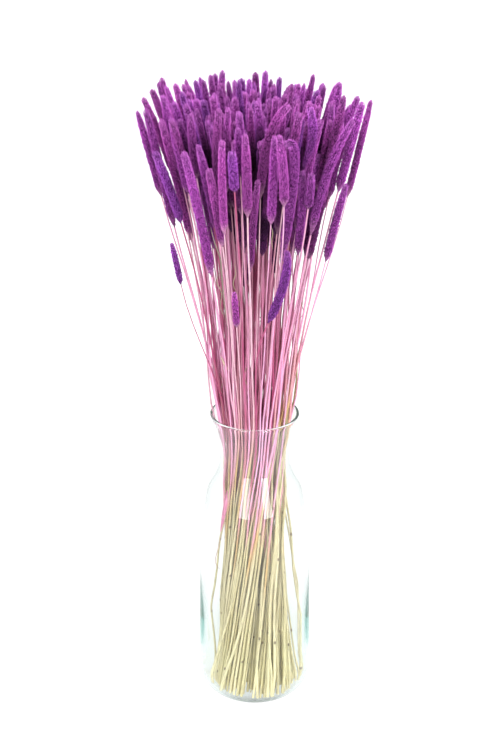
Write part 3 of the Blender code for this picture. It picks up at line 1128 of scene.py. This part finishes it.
def dye_group():
    """Colour of a dyed stem: straw shows below the dye line, and tan where the two meet."""
    inputs = [("Reach", "NodeSocketFloat", 0.0), ("Streaks", "NodeSocketFloat", 0.5),
              ("Tone", "NodeSocketFloat", 0.5), ("Inner Shade", "NodeSocketFloat", 0.0)]
    inputs += [(name, "NodeSocketColor", (0.5, 0.5, 0.5, 1.0)) for name in STEM_COLOURS]
    group, start, end = new_group("Dye Line", inputs, (("Color", "NodeSocketColor"),))
    pink, lilac, pale, deep, salmon, tan, straw, pale_straw = (
        start.outputs[name] for name in STEM_COLOURS
    )
    uneven = maths(group, "SUBTRACT", start.outputs["Streaks"], 0.5)
    tone = maths(group, "ADD", start.outputs["Tone"], times(group, uneven, STREAKED_TONE))
    dye = mix_colours(group, stepped(group, tone, *DEEP_TONES), deep, pink)
    dye = mix_colours(group, stepped(group, tone, *LILAC_TONES), dye, lilac)
    dye = mix_colours(group, stepped(group, tone, *PALE_TONES), dye, pale)
    # Painted shade: stems inside the bunch turn towards deep pink.
    dye = mix_colours(group, times(group, start.outputs["Inner Shade"], INNER_SHADE_TO_DEEP), dye, deep)
    second = shuffled(group, start.outputs["Tone"], SECOND_SHUFFLE)
    bare = mix_colours(group, second, straw, pale_straw)
    height = maths(group, "ADD", start.outputs["Reach"], times(group, uneven, STREAKED_LINE))
    thin = times(group, stepped(group, height, *THIN_DYE), THIN_SHARE)
    dye = mix_colours(group, thin, dye, salmon)
    meeting = mix_colours(group, stepped(group, second, *TAN_TONES), bare, tan)
    colour = mix_colours(group, stepped(group, height, *STRAW_TO_TAN), bare, meeting)
    colour = mix_colours(group, stepped(group, height, *TAN_TO_DYE), colour, dye)
    group.links.new(colour, end.inputs["Color"])
    return group


def dye_colours():
    """The grass's colours by the names of their settings."""
    dye = bpy.context.scene.timothy_dye
    return {name: (*getattr(dye, name), 1.0) for name in DyeSettings.__annotations__}


def new_material(name, shader_values):
    """A material with a Principled shader. Returns the material, its tree and the shader."""
    material = bpy.data.materials.new(name)
    material.use_nodes = True
    tree = material.node_tree
    shader = tree.nodes["Principled BSDF"]
    for socket, value in shader_values.items():
        shader.inputs[socket].default_value = value
    return material, tree, shader


def set_colour(tree, shader, colour):
    """Join a colour to a shader."""
    tree.links.new(colour, shader.inputs["Base Color"])


def set_relief(tree, shader, height, strength, distance):
    """Join a relief to a shader."""
    bump = add_node(
        tree, "ShaderNodeBump", {"Height": height, "Strength": strength, "Distance": distance}
    )
    tree.links.new(bump.outputs["Normal"], shader.inputs["Normal"])


# Tones over which the spikes turn from violet to plum, and to indigo.
PLUM_TONES, INDIGO_TONES = (0.45, 0.85), (0.22, 0.10)
# Lifts over which a floret comes out of the painted gap shade.
RAISED = (0.0, 0.45)
# How much paler the floret tips turn by the reach up the spike, and how the end turns paler and the
# foot lilac.
TIP_PALENESS_BY_REACH = (0.7, 1.0, 0.45, 1.6)
PALER_END, PALER_END_SHARE = (0.80, 1.0), 0.32
LILAC_FOOT = (0.16, 0.0)
# How bright a spike is by its own tone, by the grain and by the floret, and the painted light by
# the reach up it: darker at the foot, brighter at the end.
BRIGHT_SHUFFLE, BRIGHT_BY_TONE = 5.17, (0.74, 1.18)
BRIGHT_BY_GRAIN = (0.3, 0.7, 0.84, 1.14)
BRIGHT_BY_FLORET = (0.74, 1.24)
PAINTED_LIGHT_BY_REACH = (0.82, 1.18)
# The shade inside the bunch: how it fades to the spikes' ends, and its darkest level.
HIDDEN_END, HIDDEN_FOOT, HIDDEN_LEVEL = (0.92, 0.52), (0.0, 0.45, 0.60, 1.0), 0.07


def spike_material():
    """Dyed seed spikes: dull and velvety, with paler floret tips, painted shade in the gaps and
    inside the bunch, and painted light towards their ends.
    """
    dye = dye_colours()
    material, tree, shader = new_material("dyed_seed_spike", {
        "Roughness": 0.85, "Specular IOR Level": 0.10,
    })
    tone, reach, lift, single, inner = (attribute(tree, mark) for mark in MARKS)
    mottle = add_grain(tree, 1100.0, 1.0)["Mottle"]
    body = mix_colours(tree, stepped(tree, tone, *PLUM_TONES), dye["violet"], dye["plum"])
    body = mix_colours(tree, stepped(tree, tone, *INDIGO_TONES), body, dye["indigo"])
    raised = stepped(tree, lift, *RAISED)
    shade = mix_colours(tree, raised, dye["gap"], body)
    paler_tips = times(
        tree, maths(tree, "POWER", lift, 2.0), single, rescaled(tree, reach, *TIP_PALENESS_BY_REACH)
    )
    shade = mix_colours(tree, paler_tips, shade, dye["floret_tip"])
    paler_end = times(tree, stepped(tree, reach, *PALER_END), PALER_END_SHARE, raised)
    shade = mix_colours(tree, paler_end, shade, dye["floret_tip"])
    foot = times(tree, stepped(tree, reach, *LILAC_FOOT), tone)
    shade = mix_colours(tree, foot, shade, dye["lilac"])
    # Painted shade inside the bunch, from the inner mark; the spikes' ends stay bright.
    hidden = times(
        tree, stepped(tree, reach, *HIDDEN_END), inner, rescaled(tree, reach, *HIDDEN_FOOT)
    )
    # Brightness: the spike's random tone, the grain and the floret, with painted shade inside the
    # bunch and painted light up the spike.
    bright = times(
        tree,
        blended(tree, shuffled(tree, tone, BRIGHT_SHUFFLE), *BRIGHT_BY_TONE),
        blended(tree, hidden, 1.0, HIDDEN_LEVEL),
        blended(tree, reach, *PAINTED_LIGHT_BY_REACH),
        rescaled(tree, mottle, *BRIGHT_BY_GRAIN),
        blended(tree, single, *BRIGHT_BY_FLORET),
    )
    set_colour(tree, shader, brightened(tree, shade, bright))
    set_relief(tree, shader, mottle, 0.5, 0.0003)
    return material


# Painted light and shade on the stems: brighter at their feet and above the neck, darker in the
# vase between. Heights of the two changes, and shades.
PAINTED_LIGHT_FOOT, PAINTED_LIGHT_TOP = (0.010, 0.120), (0.275, 0.310)
FOOT_SHADE, MIDDLE_SHADE, TOP_SHADE = 1.10, 0.80, 1.04
FIBRE = (0.3, 0.7, 0.78, 1.14)
STAINED = (0.30, 0.75)


def stem_material():
    """Dyed straw: smooth, slightly glossy stems whose dye ends part of the way down."""
    dye = dye_colours()
    material, tree, shader = new_material("dyed_straw", {
        "Roughness": 0.42, "Specular IOR Level": 0.5,
    })
    tone, reach, lift, inner = (
        attribute(tree, mark) for mark in ("tone", "reach", "lift", "inner")
    )
    grain = add_grain(tree, 700.0, 28.0)
    inputs = {"Reach": reach, "Streaks": grain["Patches"], "Tone": tone, "Inner Shade": inner}
    inputs |= {name: dye[name.lower().replace(" ", "_")] for name in STEM_COLOURS}
    colour = add_node(tree, "ShaderNodeGroup", inputs, node_tree=dye_group()).outputs["Color"]
    colour = brightened(tree, colour, rescaled(tree, grain["Mottle"], *FIBRE))
    # Painted light and shade by height.
    height = place_parts(tree)["Z"]
    low = blended(tree, stepped(tree, height, *PAINTED_LIGHT_FOOT), FOOT_SHADE, MIDDLE_SHADE)
    high = blended(tree, stepped(tree, height, *PAINTED_LIGHT_TOP), 0.0, TOP_SHADE - MIDDLE_SHADE)
    colour = brightened(tree, colour, maths(tree, "ADD", low, high))
    colour = mix_colours(tree, stepped(tree, lift, *STAINED), colour, dye["joint_stain"])
    set_colour(tree, shader, colour)
    set_relief(tree, shader, grain["Mottle"], 0.35, 0.0002)
    return material


LEAF_PINK = 0.22
LEAF_FIBRE = (0.3, 0.7, 0.75, 1.2)


def leaf_material():
    """Curled remnants of leaves. The tone mark says how dyed they are, the lift how bleached."""
    dye = dye_colours()
    material, tree, shader = new_material("dry_leaf", {"Roughness": 0.6})
    rose = mix_colours(tree, LEAF_PINK, dye["deep_pink"], dye["pink"])
    colour = mix_colours(tree, attribute(tree, "tone"), dye["dry_leaf"], rose)
    colour = mix_colours(tree, attribute(tree, "lift"), colour, dye["pale_straw"])
    fibre = rescaled(tree, add_grain(tree, 600.0, 12.0)["Mottle"], *LEAF_FIBRE)
    set_colour(tree, shader, brightened(tree, colour, fibre))
    return material


def cut_material():
    """The pale pith that shows where a stem was cut."""
    dye = dye_colours()
    material, tree, shader = new_material("cut_pith", {"Roughness": 0.9})
    mottle = add_grain(tree, 2500.0, 1.0)["Mottle"]
    set_colour(tree, shader, mix_colours(tree, mottle, dye["pith"], dye["pale_pith"]))
    return material


def glass_material():
    """Clear soda glass that turns green-grey where it is thick."""
    vase = bpy.context.scene.timothy_vase
    material, tree, _ = new_material("clear_glass", {
        "Base Color": WHITE, "Roughness": 0.0, "IOR": 1.5, "Transmission Weight": 1.0,
    })
    absorption = add_node(
        tree, "ShaderNodeVolumeAbsorption",
        {"Color": (*vase.tint, 1.0), "Density": vase.tint_density},
    )
    output = tree.nodes["Material Output"]
    tree.links.new(absorption.outputs["Volume"], output.inputs["Volume"])
    return material


# The floor's painted pool of light: its half-widths at two depths, and the width of its soft edge.
POOL_DEPTHS = (-0.4, 3.6)
POOL_HALF_WIDTHS = (0.28, 0.86)
POOL_EDGE = 0.70
# What the glass bends or mirrors of the floor glows outside the pool too, at this share.
FAR_GLOW = 0.85
# There it has a painted shadow just before the vase: where that starts at the sides, back and
# front.
NEAR_SIDES, NEAR_BACK, NEAR_FRONT = (0.26, 0.18), (-0.029, -0.052), (-0.28, -0.18)
NEAR_SHADE = 0.10
# Painted shade makes it a little darker behind the vase, well to either side.
ASIDE_FROM, BEHIND_FROM = (0.22, 0.40), (0.22, 0.36)
ASIDE_SHADE = 0.50


def share_for(tree, ray, share):
    """The share for one kind of ray, and 1 for all others."""
    return blended(tree, add_node(tree, "ShaderNodeLightPath").outputs[ray], 1.0, share)


def floor_material():
    """A pale floor that glows in a painted pool of light, which widens away from the camera."""
    studio = bpy.context.scene.timothy_studio
    material, tree, shader = new_material("pale_floor", {
        "Base Color": (*studio.floor_colour, 1.0), "Roughness": 0.9, "Specular IOR Level": 0.0,
        "Emission Color": WHITE,
    })
    place = place_parts(tree)
    depth, off_centre = place["Y"], maths(tree, "ABSOLUTE", place["X"])
    half_width = rescaled(tree, depth, *POOL_DEPTHS, *POOL_HALF_WIDTHS)
    past = maths(tree, "SUBTRACT", off_centre, half_width)
    pool = times(tree, stepped(tree, past, POOL_EDGE, 0.0), studio.floor_light)
    seen = times(tree, pool, share_for(tree, "Is Diffuse Ray", studio.spill))
    near = times(
        tree, stepped(tree, off_centre, *NEAR_SIDES), stepped(tree, depth, *NEAR_BACK),
        stepped(tree, depth, *NEAR_FRONT),
    )
    aside = times(
        tree, stepped(tree, off_centre, *ASIDE_FROM), stepped(tree, depth, *BEHIND_FROM)
    )
    glow = times(
        tree, maths(tree, "MAXIMUM", pool, studio.floor_light * FAR_GLOW),
        blended(tree, near, studio.through, studio.through * NEAR_SHADE),
        blended(tree, aside, 1.0, ASIDE_SHADE),
    )
    ray = add_node(tree, "ShaderNodeLightPath").outputs
    in_glass = maths(tree, "MAXIMUM", ray["Is Transmission Ray"], ray["Is Glossy Ray"])
    tree.links.new(mix_values(tree, in_glass, seen, glow), shader.inputs["Emission Strength"])
    return material


def glint_material():
    """The softboxes' painted glint: a bright glowing sheet that the glass mirrors."""
    studio = bpy.context.scene.timothy_studio
    return new_material("softbox_glint", {
        "Base Color": (0.0, 0.0, 0.0, 1.0), "Emission Color": WHITE,
        "Emission Strength": studio.glint,
    })[0]


def shared_materials():
    """The stalks' materials, made once: stem, spike and cut end."""
    makers = {
        "dyed_straw": stem_material, "dyed_seed_spike": spike_material, "cut_pith": cut_material
    }
    return [bpy.data.materials.get(name) or make() for name, make in makers.items()]


# ---------------------------------------------------------------------------
# Pieces.
# ---------------------------------------------------------------------------


def arc(centre, across, up, start, end, steps):
    """Points of an oval arc in the (radius, height) plane, angles in degrees."""
    angles = np.radians(np.linspace(start, end, steps + 1))
    return np.stack((centre[0] + across * np.cos(angles), centre[1] + up * np.sin(angles)), -1)


def smooth_line(points, steps):
    """A smooth curve through points, with a number of steps between each two."""
    points = np.asarray(points)
    before = np.concatenate((2 * points[:1] - points[1:2], points[:-1]))
    after = np.concatenate((points[1:], 2 * points[-1:] - points[-2:-1]))
    slopes = (after - before) / 2
    t = (np.arange(steps) / steps)[:, None]
    curve = (
        points[:-1, None] * (2 * t**3 - 3 * t**2 + 1) + slopes[:-1, None] * (t**3 - 2 * t**2 + t)
        + points[1:, None] * (3 * t**2 - 2 * t**3) + slopes[1:, None] * (t**3 - t**2)
    )
    return np.concatenate((curve.reshape(-1, points.shape[1]), points[-1:]))


def offset_inward(points, distance):
    """The same line moved towards the axis, square to itself."""
    run = unit(np.gradient(points, axis=0))
    return points + np.stack((-run[:, 1], run[:, 0]), -1) * distance


# Height where the wall is thickest, and the one above which it is as thin as at the neck.
THICK_WALL_HEIGHT, THIN_WALL_HEIGHT = 0.036, 0.125
# Radii of the rings across the flat foot and the flat floor.
FLAT_RINGS = (0.0004, 0.012, 0.024)
HEEL_STEPS, INNER_HEEL_STEPS, WALL_STEPS, LIP_STEPS = 16, 14, 6, 12
SHARP_ANGLE = math.radians(60)


def vase_section(settings):
    """The glass wall's closed section, from the foot's centre round to the floor's centre."""
    foot = np.array([(radius, 0.0) for radius in FLAT_RINGS])
    centre = (FOOT_RADIUS, HEEL_HEIGHT)
    across, up = BODY_RADIUS - FOOT_RADIUS, HEEL_HEIGHT
    outer_heel = arc(centre, across, up, -90, 0, HEEL_STEPS)
    inner_heel = arc(centre, across - settings.base, up - settings.base, 0, -90, INNER_HEEL_STEPS)
    lip_centre = (RIM_RADIUS - settings.lip, settings.height - settings.lip)
    lip = arc(lip_centre, settings.lip, settings.lip, *LIP_ARC, LIP_STEPS)
    wall = smooth_line([outer_heel[-1], *WALL_STATIONS, lip[0]], WALL_STEPS)[1:-1]
    heights = wall[:, 1]
    thick = np.interp(
        heights, (HEEL_HEIGHT, THICK_WALL_HEIGHT), (settings.base, settings.low_wall)
    )
    share = np.clip((heights - THICK_WALL_HEIGHT) / (THIN_WALL_HEIGHT - THICK_WALL_HEIGHT), 0, 1)
    thick += (settings.wall - settings.low_wall) * share**2 * (3 - 2 * share)
    inner = offset_inward(wall, thick[:, None])[::-1]
    floor = np.array([(radius, settings.base) for radius in FLAT_RINGS[::-1]])
    return np.concatenate((foot, outer_heel, wall, lip, inner, inner_heel, floor))


def build_vase():
    """The smooth glass vase, turned from its section."""
    settings = bpy.context.scene.timothy_vase
    section = vase_section(settings)
    rings, sides = len(section), settings.segments
    angles = np.arange(sides) * (math.tau / sides)
    points = np.empty((rings, sides, 3))
    points[..., :2] = section[:, None, :1] * np.stack((np.cos(angles), np.sin(angles)), -1)
    points[..., 2] = section[:, None, 1]
    faces = ring_faces(rings, sides).tolist()
    faces.append(range(sides)[::-1])
    faces.append(range((rings - 1) * sides, rings * sides))
    mesh = bpy.data.meshes.new("glass_vase")
    mesh.from_pydata(points.reshape(-1, 3), [], faces)
    mesh.materials.append(glass_material())
    mesh.shade_smooth()
    mesh.set_sharp_from_angle(angle=SHARP_ANGLE)
    vase = add_object("glass_vase", mesh)
    vase.visible_shadow = False
    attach(vase, BODY)
    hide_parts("vase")


def build_framed_stalks():
    """One detailed stalk for each stalk that has a solid."""
    stalks = framed_stalks()
    check_layout(stalks)
    materials = shared_materials()
    for index, (node, stalk) in enumerate(zip(STALK_NODES, stalks)):
        pile = Pile()
        add_stalk(pile, stalk, index + 1, map_tile(0, 1))
        piece = make_piece(node.replace("stalk", "timothy"), pile, materials)
        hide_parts(node)


FILLING_PIECES = 8
FILLING_FIRST_SEED = 1000


def build_filling():
    """The rest of the bunch, a few stalks to a piece."""
    count = bpy.context.scene.timothy_stalks.total - len(STALK_NODES)
    extras = extra_stalks(framed_stalks(), count)
    extras.sort(key=lambda stalk: cmath.phase(stalk["place"]))
    per_piece = math.ceil(count / FILLING_PIECES)
    across = math.ceil(math.sqrt(per_piece))
    materials = shared_materials()
    for number in range(FILLING_PIECES):
        pile = Pile()
        first = number * per_piece
        for index, stalk in enumerate(extras[first:first + per_piece]):
            add_stalk(pile, stalk, FILLING_FIRST_SEED + first + index, map_tile(index, across))
        make_piece(f"timothy_filling_{number + 1}", pile, materials)


# Leaf remnants placed one by one, in millimetres: points, widest half-width, dyed, bleached.
LEAVES = (
    (((-38, -70, 509), (-35, -72, 497), (-30, -74, 482), (-29, -72, 468), (-28, -70, 453),
      (-26, -66, 429), (-24, -62, 410)), 0.9, 0.0, 0.0),
    (((-30, -68, 469), (-33, -68, 458), (-29, -68, 447), (-30, -66, 434), (-27, -64, 422)),
     0.5, 0.0, 0.2),
    (((-18, -42, 466), (-17, -43, 456), (-19, -43, 446), (-16, -42, 437)), 0.5, 0.0, 0.5),
    (((14, -46, 503), (16, -47, 496), (15, -46, 488), (16, -46, 480)), 0.5, 0.0, 0.6),
    (((-8, -33, 374), (-6, -34, 364), (-10, -34, 352), (-5, -33, 338), (-7, -32, 324)),
     0.5, 0.3, 0.4),
    (((-31, -30, 370), (-27, -32, 362), (-24, -31, 356)), 1.2, 0.5, 0.6),
    (((-26, -31, 232), (-27, -32, 219), (-29, -32, 206), (-32, -31, 188)), 2.2, 0.80, 0.0),
    (((-31, -31, 190), (-34, -31, 172), (-37, -31, 158), (-36, -31, 150), (-32, -31, 146)),
     0.38, 0.30, 0.15),
)
LEAF_STEPS = 8
LEAF_FLATNESS = 0.40
LEAF_POWER, LEAST_LEAF_WIDTH = 0.6, 0.2
MAP_LEAF, MAP_LEAF_END = (0.05, 0.90), (0.01, 0.01)
# Thin remnants at random round the back and sides: angles in radians, heights in metres.
WISP_COUNT, WISP_SEED = 22, 9
WISP_ANGLES = (-0.6, math.pi + 0.6)
WISP_HEIGHTS, WISP_LENGTHS = (0.31, 0.47), (0.012, 0.045)
WISP_SHARES = (0.0, 0.25, 0.5, 0.75, 1.0)
WISP_REACH, WISP_STRAY = 0.94, 0.0012
WISP_HALF_WIDTHS = (0.25, 0.70)
MOST_DYED, MOST_BLEACHED = 0.6, 0.5


def wisp(chance):
    """A thin curled remnant at the outside of the bunch: points, half-width, dyed, bleached."""
    place = cmath.rect(WAIST_RADIUS, chance.uniform(*WISP_ANGLES))
    start, length = chance.uniform(*WISP_HEIGHTS), chance.uniform(*WISP_LENGTHS)
    points = []
    for share in WISP_SHARES:
        height = start + length * share
        at = BUNCH_CENTRE + place * spread(height) * WISP_REACH + scatter(chance, WISP_STRAY)
        points.append((at.real * 1000, at.imag * 1000, height * 1000))
    half_width = chance.uniform(*WISP_HALF_WIDTHS)
    return points, half_width, chance.random() * MOST_DYED, chance.random() * MOST_BLEACHED


def add_leaf(pile, leaf, tile):
    """A flat, curled strip that narrows to both ends."""
    points, width, dyed, bleached = leaf
    line = smooth_line(np.array(points) / 1000, LEAF_STEPS)
    along = np.sin(np.pi * np.linspace(0, 1, len(line)))
    radii = width / 1000 * np.maximum(along**LEAF_POWER, LEAST_LEAF_WIDTH)
    skin, faces = tube(line, radii, STEM_SIDES, LEAF_FLATNESS)
    marks = marks_for(len(skin), tone=dyed, lift=bleached)
    pile.add(skin, faces, marks, 0, tube_map(len(line), STEM_SIDES, MAP_LEAF, tile))
    for start, downwards in ((0, True), (len(skin) - STEM_SIDES, False)):
        cap = end_fan(start, STEM_SIDES, downwards)
        pile.add(skin, cap, marks, 0, spot_map(len(cap), MAP_LEAF_END, tile))


def build_leaves():
    """Curled remnants of leaves among the stems."""
    chance = random.Random(WISP_SEED)
    leaves = [*LEAVES, *(wisp(chance) for _ in range(WISP_COUNT))]
    pile = Pile()
    across = math.ceil(math.sqrt(len(leaves)))
    for index, leaf in enumerate(leaves):
        add_leaf(pile, leaf, map_tile(index, across))
    make_piece("timothy_leaves", pile, [leaf_material()])


# ---------------------------------------------------------------------------
# Stage.
# ---------------------------------------------------------------------------

FLOOR_REACH = 40.0
# Name, azimuth in degrees, width and height, and share of the key power.
SOFTBOXES = (
    ("softbox_left", -23.0, (0.44, 1.60), 1.0),
    ("softbox_right", 29.5, (0.38, 1.60), 1.70),
)
SOFTBOX_DISTANCE, SOFTBOX_STAND = 1.15, 0.05
# Parts of a ray's way, from -1 to 1, over which the sheen grows with height, the front turns
# into the wall behind, and both turn into the ceiling.
SHEEN_RISE, BACK_WALL, CEILING = (0.0, 0.5), (0.2, 0.9), (0.35, 0.85)
SENSOR_WIDTH, FARTHEST_SEEN = 36.0, 100.0
# Light runs far along the inside of the glass before it leaves it.
GLASS_BOUNCES = 96


def add_sheet(name, wide, tall, material):
    """A flat sheet of the stage, with its half-width and half-height."""
    mesh = bpy.data.meshes.new(name)
    corners = [(-wide, -tall, 0), (wide, -tall, 0), (wide, tall, 0), (-wide, tall, 0)]
    mesh.from_pydata(corners, [], [(0, 1, 2, 3)])
    mesh.materials.append(material)
    sheet = add_object(name, mesh)
    sheet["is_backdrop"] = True
    return sheet


def add_softbox(name, azimuth, size, share):
    """A tall soft light on a low stand that faces the vase, with its share of the key power.

    Its painted glint is a glowing sheet that only the glass mirrors, much brighter than the soft
    light itself.
    """
    level = math.radians(azimuth)
    way = Vector((math.sin(level), -math.cos(level), 0.0))
    light = bpy.data.lights.new(name, "AREA")
    light.shape = "RECTANGLE"
    light.size, light.size_y = size
    light.energy = bpy.context.scene.timothy_studio.key_power * share
    lamp = add_object(name, light)
    lamp.visible_glossy = False
    glint_sheet = add_sheet(f"{name}_cloth", size[0] / 2, size[1] / 2, glint_material())
    glint_sheet.visible_camera = glint_sheet.visible_diffuse = glint_sheet.visible_shadow = False
    glint_sheet.visible_transmission = False
    for thing in (lamp, glint_sheet):
        thing.location = way * SOFTBOX_DISTANCE + Vector((0, 0, size[1] / 2 + SOFTBOX_STAND))
        thing.rotation_euler = way.to_track_quat("Z", "Y").to_euler()


def build_world():
    """A bright studio: white behind the vase and above, greyer where the camera stands."""
    studio = bpy.context.scene.timothy_studio
    world = bpy.data.worlds.new("studio")
    bpy.context.scene.world = world
    world.use_nodes = True
    tree = world.node_tree
    way = place_parts(tree, "Generated")
    sheen = blended(tree, stepped(tree, way["Z"], *SHEEN_RISE), 1.0, studio.sheen)
    front = times(tree, share_for(tree, "Is Glossy Ray", sheen), studio.side_light)
    level = rescaled(tree, way["Y"], *BACK_WALL, front, studio.back_light)
    level = times(tree, level, share_for(tree, "Is Diffuse Ray", studio.spill))
    light = mix_values(tree, stepped(tree, way["Z"], *CEILING), level, studio.top_light)
    background = tree.nodes["Background"]
    tree.links.new(light, background.inputs["Strength"])
    background.inputs["Color"].default_value = WHITE


def build_camera():
    """The camera, in front of the vase and looking down on it."""
    studio = bpy.context.scene.timothy_studio
    lens = bpy.data.cameras.new("camera")
    lens.lens = studio.lens
    lens.sensor_width = SENSOR_WIDTH
    lens.shift_x = studio.shift
    lens.clip_end = FARTHEST_SEEN
    camera = add_object("camera", lens)
    camera.location = (0.0, -studio.distance, studio.height)
    camera.rotation_euler = (math.pi / 2 - studio.pitch, 0.0, 0.0)
    bpy.context.scene.camera = camera


def build_stage():
    """Floor, lights, world and camera."""
    scene = bpy.context.scene
    cycles = scene.cycles
    cycles.max_bounces = cycles.glossy_bounces = cycles.transmission_bounces = GLASS_BOUNCES
    add_sheet("floor", FLOOR_REACH, FLOOR_REACH, floor_material())
    for softbox in SOFTBOXES:
        add_softbox(*softbox)
    build_world()
    build_camera()
    scene.view_settings.view_transform = "Standard"


# ---------------------------------------------------------------------------
# Operators and panel.
# ---------------------------------------------------------------------------


class TIMOTHY_OT_vase(bpy.types.Operator):
    """Make the glass vase"""

    bl_idname = "timothy.vase"
    bl_label = "Glass Vase"

    def execute(self, context):
        build_vase()
        return {"FINISHED"}


class TIMOTHY_OT_stalks(bpy.types.Operator):
    """Make the stalks that have solids"""

    bl_idname = "timothy.stalks"
    bl_label = "Framed Stalks"

    def execute(self, context):
        build_framed_stalks()
        return {"FINISHED"}


class TIMOTHY_OT_filling(bpy.types.Operator):
    """Make the stalks that fill the bunch"""

    bl_idname = "timothy.filling"
    bl_label = "Filling Stalks"

    def execute(self, context):
        build_filling()
        return {"FINISHED"}


class TIMOTHY_OT_leaves(bpy.types.Operator):
    """Make the remnants of leaves"""

    bl_idname = "timothy.leaves"
    bl_label = "Leaf Remnants"

    def execute(self, context):
        build_leaves()
        return {"FINISHED"}


class TIMOTHY_OT_stage(bpy.types.Operator):
    """Make the floor, lights and camera"""

    bl_idname = "timothy.stage"
    bl_label = "Stage"

    def execute(self, context):
        build_stage()
        return {"FINISHED"}


STEPS = (
    TIMOTHY_OT_vase, TIMOTHY_OT_stalks, TIMOTHY_OT_filling, TIMOTHY_OT_leaves, TIMOTHY_OT_stage
)
SETTINGS = {
    "timothy_vase": VaseSettings,
    "timothy_stalks": StalkSettings,
    "timothy_dye": DyeSettings,
    "timothy_studio": StudioSettings,
}


class TIMOTHY_PT_panel(bpy.types.Panel):
    """Settings and steps of the vase of timothy grass"""

    bl_idname = "TIMOTHY_PT_panel"
    bl_label = "Vase of Dried Timothy Grass"
    bl_space_type = "VIEW_3D"
    bl_region_type = "UI"
    bl_category = "Timothy"

    def draw(self, context):
        layout = self.layout
        for step in STEPS:
            layout.operator(step.bl_idname)
        for name in SETTINGS:
            box = layout.box()
            settings = getattr(context.scene, name)
            for entry in settings.bl_rna.properties:
                if entry.identifier not in ("rna_type", "name"):
                    box.prop(settings, entry.identifier)


def register():
    for kind in (*SETTINGS.values(), *STEPS, TIMOTHY_PT_panel):
        bpy.utils.register_class(kind)
    for name, kind in SETTINGS.items():
        setattr(bpy.types.Scene, name, bpy.props.PointerProperty(type=kind))


def unregister():
    for name in SETTINGS:
        delattr(bpy.types.Scene, name)
    for kind in (TIMOTHY_PT_panel, *reversed(STEPS), *reversed(SETTINGS.values())):
        bpy.utils.unregister_class(kind)


def main():
    register()
    bpy.ops.timothy.vase()
    bpy.ops.timothy.stalks()
    bpy.ops.timothy.filling()
    bpy.ops.timothy.leaves()
    bpy.ops.timothy.stage()
    boxes = {"cad": CAD_BOX, "visual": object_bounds()}
    sizes = {name: [list(corner) for corner in box] for name, box in boxes.items()}


if __name__ == "__main__":
    main()
